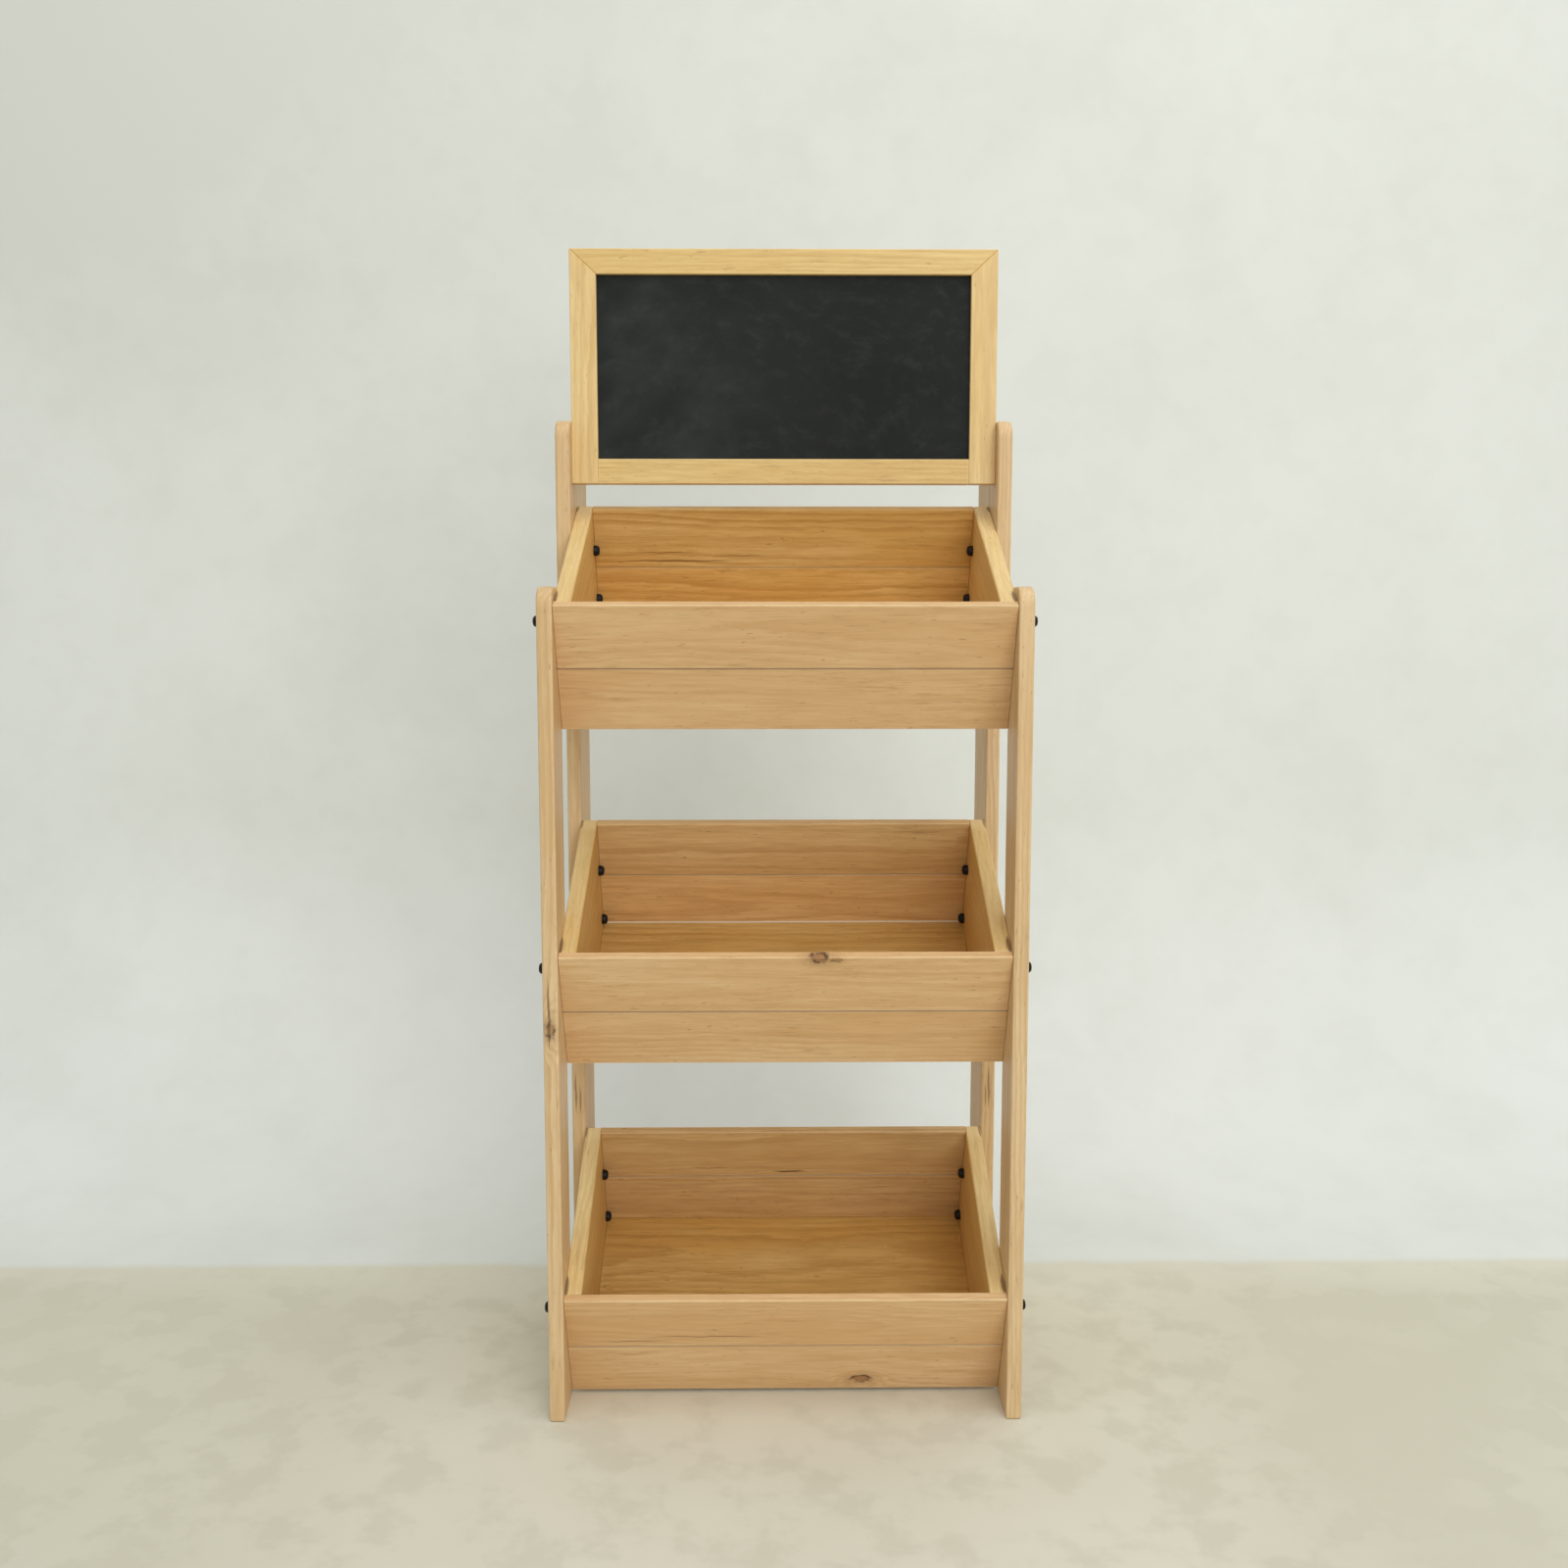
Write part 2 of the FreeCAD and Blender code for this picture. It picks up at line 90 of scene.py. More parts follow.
# ---------------------------------------------------------------------------
# Wiring of node trees
# ---------------------------------------------------------------------------
class Graph:
    """A node tree being wired, with short calls for the nodes used here."""

    def __init__(self, tree: bpy.types.NodeTree) -> None:
        """Take a tree that is ready to be filled.

        Args:
            tree: The tree.
        """
        self.tree = tree

    def node(self, kind: str, **settings: object) -> bpy.types.Node:
        """Add a node and set its properties.

        Args:
            kind: Blender's name for the node.
            settings: Properties of the node by name.

        Returns:
            The new node.
        """
        made = self.tree.nodes.new(kind)
        for name, setting in settings.items():
            setattr(made, name, setting)
        return made

    def feed(self, socket: bpy.types.NodeSocket, source: Source) -> None:
        """Link a source to a socket, or set the socket's own value.

        Args:
            socket: Input socket.
            source: Output socket, number, or numbers that are padded with ones.
        """
        if isinstance(source, bpy.types.NodeSocket):
            self.tree.links.new(source, socket)
        elif isinstance(source, (int, float)):
            socket.default_value = source
        else:
            missing = len(socket.default_value) - len(source)
            socket.default_value = tuple(source) + (1.0,) * missing

    def calc(self, operation: str, *values: Source) -> bpy.types.NodeSocket:
        """Number made by one Math node.

        Args:
            operation: The Math node's operation.
            values: Its inputs in order.

        Returns:
            The result.
        """
        made = self.node("ShaderNodeMath", operation=operation)
        for socket, source in zip(made.inputs, values):
            self.feed(socket, source)
        return made.outputs[0]

    def vector(self, operation: str, *values: Source) -> bpy.types.NodeSocket:
        """Vector made by one Vector Math node.

        Args:
            operation: The Vector Math node's operation.
            values: Its inputs in order.

        Returns:
            The result, a number for LENGTH.
        """
        made = self.node("ShaderNodeVectorMath", operation=operation)
        for socket, source in zip(made.inputs, values):
            self.feed(socket, source)
        return made.outputs["Value" if operation == "LENGTH" else "Vector"]

    def split(self, source: Source) -> List[bpy.types.NodeSocket]:
        """Take a vector apart.

        Args:
            source: The vector.

        Returns:
            Its three numbers.
        """
        made = self.node("ShaderNodeSeparateXYZ")
        self.feed(made.inputs[0], source)
        return list(made.outputs)

    def join(self, first: Source, second: Source, third: Source) -> bpy.types.NodeSocket:
        """Put a vector together.

        Args:
            first: Its first number.
            second: Its second number.
            third: Its third number.

        Returns:
            The vector.
        """
        made = self.node("ShaderNodeCombineXYZ")
        for socket, source in zip(made.inputs, (first, second, third)):
            self.feed(socket, source)
        return made.outputs[0]

    def step(self, value: Source, low: Source, high: Source,
             start: float = 0.0, end: float = 1.0) -> bpy.types.NodeSocket:
        """Go smoothly from start to end as value goes from low to high.

        Args:
            value: Number that is tested.
            low: Where the change starts.
            high: Where the change ends.
            start: Result before low.
            end: Result past high.

        Returns:
            The result.
        """
        made = self.node("ShaderNodeMapRange", interpolation_type="SMOOTHSTEP")
        for name, source in (("Value", value), ("From Min", low), ("From Max", high)):
            self.feed(made.inputs[name], source)
        made.inputs["To Min"].default_value = start
        made.inputs["To Max"].default_value = end
        return made.outputs["Result"]

    def mix(self, share: Source, first: Source, second: Source, blend: str = "MIX") -> bpy.types.NodeSocket:
        """Colour between two colours.

        Args:
            share: Share of the second colour.
            first: First colour.
            second: Second colour.
            blend: The Mix node's blend type.

        Returns:
            The mixed colour.
        """
        made = self.node("ShaderNodeMix", data_type="RGBA", blend_type=blend, clamp_factor=True)
        for index, source in ((0, share), (6, first), (7, second)):
            self.feed(made.inputs[index], source)
        return made.outputs[2]

    def tint(self, mask: Source, strength: float, under: Source, over: Source) -> bpy.types.NodeSocket:
        """Lay a colour over another where a mask is on.

        Args:
            mask: Where the upper colour goes, 0 to 1.
            strength: How much of it shows there.
            under: Lower colour.
            over: Upper colour.

        Returns:
            The tinted colour.
        """
        return self.mix(self.calc("MULTIPLY", mask, strength), under, over)

    def noise(self, place: Source, stretch: Sequence[float], detail: float = 2.0,
              rough: float = 0.5, colour: bool = False) -> bpy.types.NodeSocket:
        """Noise at a place after stretching, with about 0.5 in the middle.

        Args:
            place: Position in metres.
            stretch: Repeats per metre along each axis.
            detail: Octaves.
            rough: Weight of the finer octaves.
            colour: Give three independent numbers, not one.

        Returns:
            The noise.
        """
        made = self.node("ShaderNodeTexNoise", noise_dimensions="3D")
        self.feed(made.inputs["Vector"], self.vector("MULTIPLY", place, stretch))
        made.inputs["Scale"].default_value = 1.0
        made.inputs["Detail"].default_value = detail
        made.inputs["Roughness"].default_value = rough
        return made.outputs["Color" if colour else "Fac"]

    def sway(self, place: Source, stretch: Sequence[float], reach: Source,
             rough: float = 0.5) -> bpy.types.NodeSocket:
        """Random offset that averages nothing, for bending a pattern.

        Args:
            place: Position in metres.
            stretch: Repeats per metre along each axis.
            reach: Size of the offset along each axis.
            rough: Weight of the finer octaves.

        Returns:
            The offset.
        """
        wild = self.noise(place, stretch, 2.0, rough, colour=True)
        return self.vector("MULTIPLY", self.vector("SUBTRACT", wild, NOISE_MIDDLE), reach)

    def bump(self, height: Source, strength: float, distance: float) -> bpy.types.NodeSocket:
        """Normal of a surface with fine relief.

        Args:
            height: Relief, about 0 to 1.
            strength: How much of it counts.
            distance: Height of 1, in metres.

        Returns:
            The normal.
        """
        made = self.node("ShaderNodeBump")
        made.inputs["Strength"].default_value = strength
        made.inputs["Distance"].default_value = distance
        self.feed(made.inputs["Height"], height)
        return made.outputs["Normal"]


class SharedGroup:
    """A shader node group that is wired once and placed in many materials."""

    title = ""
    inputs: Sequence[Tuple[str, str, float]] = ()
    outputs: Sequence[str] = ()

    def wire(self, graph: Graph, given: Sockets) -> Dict[str, Source]:
        """Wire the inside of the group.

        Args:
            graph: The group's own tree.
            given: Its input sockets by name.

        Returns:
            What each output gives, by name.
        """
        raise NotImplementedError

    def tree(self) -> bpy.types.NodeTree:
        """Find the group's tree, or wire it on first use.

        Returns:
            The tree.
        """
        known = bpy.data.node_groups.get(self.title)
        if known:
            return known
        made = bpy.data.node_groups.new(self.title, "ShaderNodeTree")
        for name, kind, default in self.inputs:
            socket = made.interface.new_socket(name, in_out="INPUT", socket_type=kind)
            if kind == NUMBER:
                socket.default_value = default
        for name in self.outputs:
            made.interface.new_socket(name, in_out="OUTPUT", socket_type=NUMBER)
        graph = Graph(made)
        entry = graph.node("NodeGroupInput")
        results = self.wire(graph, {name: entry.outputs[name] for name, _, _ in self.inputs})
        leave = graph.node("NodeGroupOutput")
        for name, source in results.items():
            graph.feed(leave.inputs[name], source)
        return made

    def place(self, graph: Graph, **values: Source) -> Sockets:
        """Put the group in a material.

        Args:
            graph: The material's tree.
            values: Sources for its inputs, with spaces written as underscores.

        Returns:
            Its output sockets by name.
        """
        made = graph.node("ShaderNodeGroup", node_tree=self.tree())
        for name, source in values.items():
            graph.feed(made.inputs[name.replace("_", " ").capitalize()], source)
        return {name: made.outputs[name] for name in self.outputs}


class PineGrain(SharedGroup):
    """Growth rings of a log cut by the board, with fibres and slow tone changes.

    Every scale is in repeats per metre along, across and through the board.
    """

    title = "Pine grain"
    inputs = (
        ("Board", VECTOR, 0.0),
        ("Pith", VECTOR, 0.0),
        ("Ring width", NUMBER, 0.005),
        ("Wander", NUMBER, 0.02),
        ("Seed", NUMBER, 0.0),
        ("Lift", NUMBER, 0.0),
    )
    outputs = ("Late", "Fibre", "Cloud", "Dash")
    seed_steps = (3.17, 1.73, 2.29)
    drift_scale = (1.9, 6.0, 6.0)
    ragged_scale = (16.0, 110.0, 110.0)
    ragged_rings = 0.95
    fading_scale = (3.0, 30.0, 30.0)
    fibre_scale = (30.0, 480.0, 480.0)
    fibre_weight = 0.55
    coarse_scale = (11.0, 130.0, 130.0)
    coarse_weight = 0.45
    dash_scale = (30.0, 420.0, 420.0)
    patchy_scale = (7.0, 22.0, 22.0)
    fleck_scale = (70.0, 330.0, 330.0)
    fleck_weight = 1.5
    cloud_scale = (2.6, 12.0, 12.0)

    def wire(self, graph: Graph, given: Sockets) -> Dict[str, Source]:
        """Shift the noise by the board's seed, then wire rings, fibres, dashes and clouds.

        Args:
            graph: The group's own tree.
            given: Its input sockets by name.

        Returns:
            What each output gives, by name.
        """
        shift = graph.join(*(graph.calc("MULTIPLY", given["Seed"], step) for step in self.seed_steps))
        place = graph.vector("ADD", given["Board"], shift)
        fine = graph.calc("MULTIPLY", graph.noise(place, self.fibre_scale, 4.0, 0.65), self.fibre_weight)
        coarse = graph.calc("MULTIPLY", graph.noise(place, self.coarse_scale, 3.0, 0.6), self.coarse_weight)
        return {
            "Late": self._rings(graph, given, place),
            "Fibre": graph.calc("ADD", fine, coarse),
            "Cloud": graph.noise(place, self.cloud_scale, 3.0, 0.55),
            "Dash": self._dashes(graph, place),
        }

    def _rings(self, graph: Graph, given: Sockets, place: Source) -> bpy.types.NodeSocket:
        """Count ring widths from a wandering pith; the late wood ends each ring.

        Args:
            graph: The group's own tree.
            given: Its input sockets by name.
            place: Position that noise is looked up at.

        Returns:
            Late wood, 0 to 1.
        """
        wander = graph.join(given["Wander"], given["Wander"], given["Wander"])
        drift = graph.sway(place, self.drift_scale, wander, 0.45)
        from_pith = graph.vector("ADD", graph.vector("SUBTRACT", given["Board"], given["Pith"]), drift)
        _, across, through = graph.split(from_pith)
        square = graph.calc(
            "ADD", graph.calc("MULTIPLY", across, across), graph.calc("MULTIPLY", through, through))
        count = graph.calc("DIVIDE", graph.calc("SQRT", square), given["Ring width"])
        ragged = graph.noise(place, self.ragged_scale, 4.0, 0.65)
        count = graph.calc("ADD", count, graph.calc("MULTIPLY", ragged, self.ragged_rings))
        count = graph.calc("ADD", count, given["Lift"])
        part = graph.calc("FRACT", count)
        late = graph.calc("MULTIPLY", graph.step(part, 0.25, 0.84), graph.step(part, 0.9, 1.0, 1.0, 0.0))
        ring = graph.node("ShaderNodeTexWhiteNoise", noise_dimensions="1D")
        graph.feed(ring.inputs["W"], graph.calc("FLOOR", count))
        late = graph.calc("MULTIPLY", late, graph.step(ring.outputs["Value"], 0.0, 1.0, 0.35, 1.0))
        fading = graph.noise(place, self.fading_scale, 2.0, 0.5)
        return graph.calc("MULTIPLY", late, graph.step(fading, 0.3, 0.62, 0.25, 1.0))

    def _dashes(self, graph: Graph, place: Source) -> bpy.types.NodeSocket:
        """Wire resin dashes that come in patches, and shorter flecks all over.

        Args:
            graph: The group's own tree.
            place: Position that noise is looked up at.

        Returns:
            Dashes, 0 to 1 and past 1 for flecks.
        """
        dash = graph.noise(place, self.dash_scale, 3.0, 0.7)
        patchy = graph.noise(place, self.patchy_scale, 2.0, 0.5)
        dash = graph.calc("MULTIPLY", graph.step(dash, 0.55, 0.68), graph.step(patchy, 0.38, 0.66))
        fleck = graph.step(graph.noise(place, self.fleck_scale, 2.0, 0.5), 0.68, 0.76)
        return graph.calc("MAXIMUM", dash, graph.calc("MULTIPLY", fleck, self.fleck_weight))


class PineKnot(SharedGroup):
    """A branch that came through the board, with the rings bent round it."""

    title = "Pine knot"
    inputs = (("Board", VECTOR, 0.0), ("Centre", VECTOR, 0.0), ("Size", NUMBER, 0.006))
    outputs = ("Core", "Rim", "Halo", "Lift")
    wobble_scale = (120.0, 180.0, 60.0)
    wobble_reach = (0.012, 0.008, 0.0)
    squash = (0.55, 1.0, 0.5)
    broken_scale = (160.0, 260.0, 60.0)
    rings_lifted = 2.6

    def wire(self, graph: Graph, given: Sockets) -> Dict[str, Source]:
        """Make every band from the distance to the branch's middle, in its own sizes.

        Args:
            graph: The group's own tree.
            given: Its input sockets by name.

        Returns:
            What each output gives, by name.
        """
        apart = graph.vector("SUBTRACT", given["Board"], given["Centre"])
        wobble = graph.sway(given["Board"], self.wobble_scale, self.wobble_reach)
        apart = graph.vector("MULTIPLY", graph.vector("ADD", apart, wobble), self.squash)
        away = graph.calc("DIVIDE", graph.vector("LENGTH", apart), given["Size"])
        broken = graph.noise(given["Board"], self.broken_scale, 3.0, 0.6)
        rim = graph.calc("MULTIPLY", graph.step(away, 0.45, 0.95), graph.step(away, 1.0, 1.6, 1.0, 0.0))
        rim = graph.calc("MULTIPLY", rim, graph.step(broken, 0.36, 0.6, 0.15, 1.0))
        lift = graph.calc("MULTIPLY", graph.step(away, 0.4, 5.0, 1.0, 0.0), self.rings_lifted)
        return {
            "Core": graph.step(away, 0.75, 1.0, 1.0, 0.0),
            "Rim": rim,
            "Halo": graph.step(away, 1.0, 3.6, 1.0, 0.0),
            "Lift": lift,
        }


class SplitAndShadowStreak(SharedGroup):
    """A short split along the grain, widest in its middle; the same shape draws painted contact shadow."""

    title = "Split and shadow streak"
    inputs = (
        ("Board", VECTOR, 0.0),
        ("Centre", VECTOR, 0.0),
        ("Length", NUMBER, 0.06),
        ("Opening", NUMBER, 0.0008),
    )
    outputs = ("Gap",)
    waver_scale = (26.0, 4.0, 4.0)
    waver_reach = 0.006
    thinnest = 0.00001

    def wire(self, graph: Graph, given: Sockets) -> Dict[str, Source]:
        """Close the gap towards both ends and let it waver with the fibres.

        Args:
            graph: The group's own tree.
            given: Its input sockets by name.

        Returns:
            What each output gives, by name.
        """
        along, across, _ = graph.split(graph.vector("SUBTRACT", given["Board"], given["Centre"]))
        waver = graph.calc("SUBTRACT", graph.noise(given["Board"], self.waver_scale, 3.0, 0.6), 0.5)
        waver = graph.calc("MULTIPLY", waver, self.waver_reach)
        off = graph.calc("ABSOLUTE", graph.calc("ADD", across, waver))
        half_length = graph.calc("MULTIPLY", given["Length"], 0.5)
        reach = graph.calc("DIVIDE", graph.calc("ABSOLUTE", along), half_length)
        width = graph.calc("MULTIPLY", given["Opening"], graph.step(reach, 0.2, 1.0, 1.0, 0.0))
        width = graph.calc("ADD", width, self.thinnest)
        gap = graph.step(graph.calc("DIVIDE", off, width), 0.5, 1.2, 1.0, 0.0)
        return {"Gap": graph.calc("MULTIPLY", gap, graph.step(reach, 0.8, 1.0, 1.0, 0.0))}


class BoardEdge(SharedGroup):
    """Where a board is handled: worn arrises, and its two end-grain faces."""

    title = "Board edge"
    inputs = (("Board", VECTOR, 0.0), ("Half", VECTOR, 0.0), ("Wear", NUMBER, 0.0025))
    outputs = ("Arris", "End")
    rubbed_scale = (40.0, 60.0, 60.0)
    end_outer = -0.0003
    end_inner = -0.0009

    def wire(self, graph: Graph, given: Sockets) -> Dict[str, Source]:
        """Find an arris where the second nearest face is close too.

        Args:
            graph: The group's own tree.
            given: Its input sockets by name.

        Returns:
            What each output gives, by name.
        """
        inside = graph.vector("SUBTRACT", graph.vector("ABSOLUTE", given["Board"]), given["Half"])
        along, across, through = graph.split(inside)
        nearest = graph.calc("MAXIMUM", graph.calc("MAXIMUM", along, across), through)
        farthest = graph.calc("MINIMUM", graph.calc("MINIMUM", along, across), through)
        total = graph.calc("ADD", graph.calc("ADD", along, across), through)
        second = graph.calc("SUBTRACT", graph.calc("SUBTRACT", total, nearest), farthest)
        rubbed = graph.noise(given["Board"], self.rubbed_scale, 3.0, 0.6)
        reach = graph.calc("MULTIPLY", given["Wear"], graph.step(rubbed, 0.3, 0.7, -1.7, -0.5))
        return {
            "Arris": graph.step(second, reach, 0.0),
            "End": graph.step(along, self.end_inner, self.end_outer),
        }


class ChalkDust(SharedGroup):
    """Wiped chalk: broad arm-wide sweeps with finer streaks inside them."""

    title = "Chalk dust"
    inputs = (("Board", VECTOR, 0.0), ("Seed", NUMBER, 0.0))
    outputs = ("Haze", "Streak", "Speck")
    bend_scale = (5.0, 5.0, 5.0)
    bend_reach = (0.12, 0.12, 0.0)
    haze_scale = (8.0, 9.0, 1.0)
    streak_scale = (45.0, 60.0, 1.0)
    speck_scale = (260.0, 260.0, 1.0)

    def wire(self, graph: Graph, given: Sockets) -> Dict[str, Source]:
        """Bend the sweeps by looking them up at a shifted place.

        Args:
            graph: The group's own tree.
            given: Its input sockets by name.

        Returns:
            What each output gives, by name.
        """
        shift = graph.join(given["Seed"], given["Seed"], given["Seed"])
        place = graph.vector("ADD", given["Board"], shift)
        swept = graph.vector("ADD", place, graph.sway(place, self.bend_scale, self.bend_reach))
        return {
            "Haze": graph.step(graph.noise(swept, self.haze_scale, 4.0, 0.6), 0.35, 0.75),
            "Streak": graph.step(graph.noise(swept, self.streak_scale, 5.0, 0.7), 0.45, 0.8),
            "Speck": graph.step(graph.noise(place, self.speck_scale, 2.0, 0.5), 0.72, 0.84),
        }


PINE_GRAIN = PineGrain()
PINE_KNOT = PineKnot()
SPLIT_AND_SHADOW_STREAK = SplitAndShadowStreak()
BOARD_EDGE = BoardEdge()
CHALK_DUST = ChalkDust()


# ---------------------------------------------------------------------------
# Finishes
# ---------------------------------------------------------------------------
def new_material(name: str) -> Tuple[bpy.types.Material, Graph, bpy.types.Node]:
    """Make a material with only a Principled shader on its output.

    Args:
        name: Name of the material.

    Returns:
        The material, its graph and the shader node.
    """
    material = bpy.data.materials.new(name)
    material.use_nodes = True
    material.node_tree.nodes.clear()
    graph = Graph(material.node_tree)
    shader = graph.node("ShaderNodeBsdfPrincipled")
    output = graph.node("ShaderNodeOutputMaterial")
    graph.feed(output.inputs["Surface"], shader.outputs["BSDF"])
    return material, graph, shader


def put_on(piece: bpy.types.Object, material: bpy.types.Material) -> None:
    """Use one material all over a piece.

    Args:
        piece: The piece.
        material: The material.
    """
    if not piece.material_slots:
        piece.data.materials.append(material)
    for slot in piece.material_slots:
        slot.material = material


def scaled(colour: Colour, factor: float) -> Colour:
    """Make a colour lighter or darker.

    Args:
        colour: The colour.
        factor: How much lighter, 1 for no change.

    Returns:
        The changed colour.
    """
    return (factor * colour[0], factor * colour[1], factor * colour[2])


@dataclass(frozen=True)
class Knot:
    """A knot on a board's face or edge, placed from the board's middle in metres."""

    along: float
    across: float
    size: float
    strength: float = 1.0
    depth: float = 0.0
    on_edge: bool = False


@dataclass(frozen=True)
class DarkStreak:
    """A dark streak along the grain, placed from the board's middle in metres; used for drying splits, pitch
    streaks and painted contact shadow where a side board meets a leg.
    """

    along: float
    across: float
    length: float
    opening: float = 0.0008
    strength: float = 0.7
    on_edge: bool = False


@dataclass(frozen=True)
class PineTone:
    """Colours of one batch of boards under their clear coat."""

    early: Colour
    late: Colour
    warm: Colour
    edge: Colour
    ring_strength: float

    def lighter(self, factor: float) -> PineTone:
        """Take the same wood painted lighter, as painted light that offsets the shade falling on it.

        Args:
            factor: How much lighter, 1 for no change.

        Returns:
            The lighter tone.
        """
        colours = (scaled(colour, factor) for colour in (self.early, self.late, self.warm, self.edge))
        return PineTone(*colours, ring_strength=self.ring_strength)


HONEY = PineTone(
    early=linear(226, 190, 141), late=linear(199, 152, 97),
    warm=linear(216, 174, 120), edge=linear(236, 208, 158), ring_strength=0.55,
)
PALE = PineTone(
    early=linear(226, 198, 153), late=linear(196, 158, 108),
    warm=linear(212, 176, 124), edge=linear(236, 212, 168), ring_strength=0.8,
)
AMBER = PineTone(
    early=linear(222, 186, 117), late=linear(182, 133, 62),
    warm=linear(210, 163, 86), edge=linear(230, 198, 136), ring_strength=0.8,
)
GILT = PineTone(
    early=linear(226, 196, 129), late=linear(197, 156, 86),
    warm=linear(216, 180, 110), edge=linear(233, 206, 150), ring_strength=0.6,
)
RUSSET = PineTone(
    early=linear(222, 187, 130), late=linear(184, 138, 82),
    warm=linear(210, 167, 106), edge=linear(226, 194, 142), ring_strength=0.6,
)
STRAW = PineTone(
    early=linear(232, 204, 144), late=linear(201, 162, 98),
    warm=linear(221, 187, 122), edge=linear(238, 213, 160), ring_strength=0.6,
)
# Painted shade on a side board's face inside the bin, multiplied into its colour.
PAINTED_INSIDE_SHADE = (0.97, 0.88, 0.68)
# Painted shade for the groove where two slats meet.
GROOVE_SHADE = linear(96, 60, 30)
# Painted light: the bright wall seen through the slit under a back slat.
SLIT_LIGHT = linear(255, 248, 228)
KNOT_HEART = linear(150, 100, 54)
KNOT_BARK = linear(66, 38, 18)
# Dark of drying splits, and of painted contact shadow where side boards meet the legs.
SPLIT_AND_SHADOW_DARK = linear(92, 54, 26)


class Grain(Enum):
    """Which way a board's length, width and thickness lie in the stand."""

    UPRIGHT = "upright"
    ACROSS_TILTED = "across, in a bin's panel"
    DEPTH_TILTED = "front to back, in a bin's side"
    ACROSS_FLOOR = "across, in a bin's floor"
    RAIL = "across, in the sign"
    STILE = "upright, in the sign"

    def axes(self) -> Tuple[Vector, Vector, Vector]:
        """Work out the directions of length, width and thickness.

        Returns:
            Three unit vectors that form a right-handed set.
        """
        right = Vector((1.0, 0.0, 0.0))
        back = Vector((0.0, 1.0, 0.0))
        up = Vector((0.0, 0.0, 1.0))
        depth = Vector((0.0, math.cos(BIN_TILT), math.sin(BIN_TILT)))
        rise = Vector((0.0, -math.sin(BIN_TILT), math.cos(BIN_TILT)))
        length, width = {
            Grain.UPRIGHT: (up, back),
            Grain.ACROSS_TILTED: (right, rise),
            Grain.DEPTH_TILTED: (depth, rise),
            Grain.ACROSS_FLOOR: (right, depth),
            Grain.RAIL: (right, up),
            Grain.STILE: (up, right),
        }[self]
        return length, width, length.cross(width)


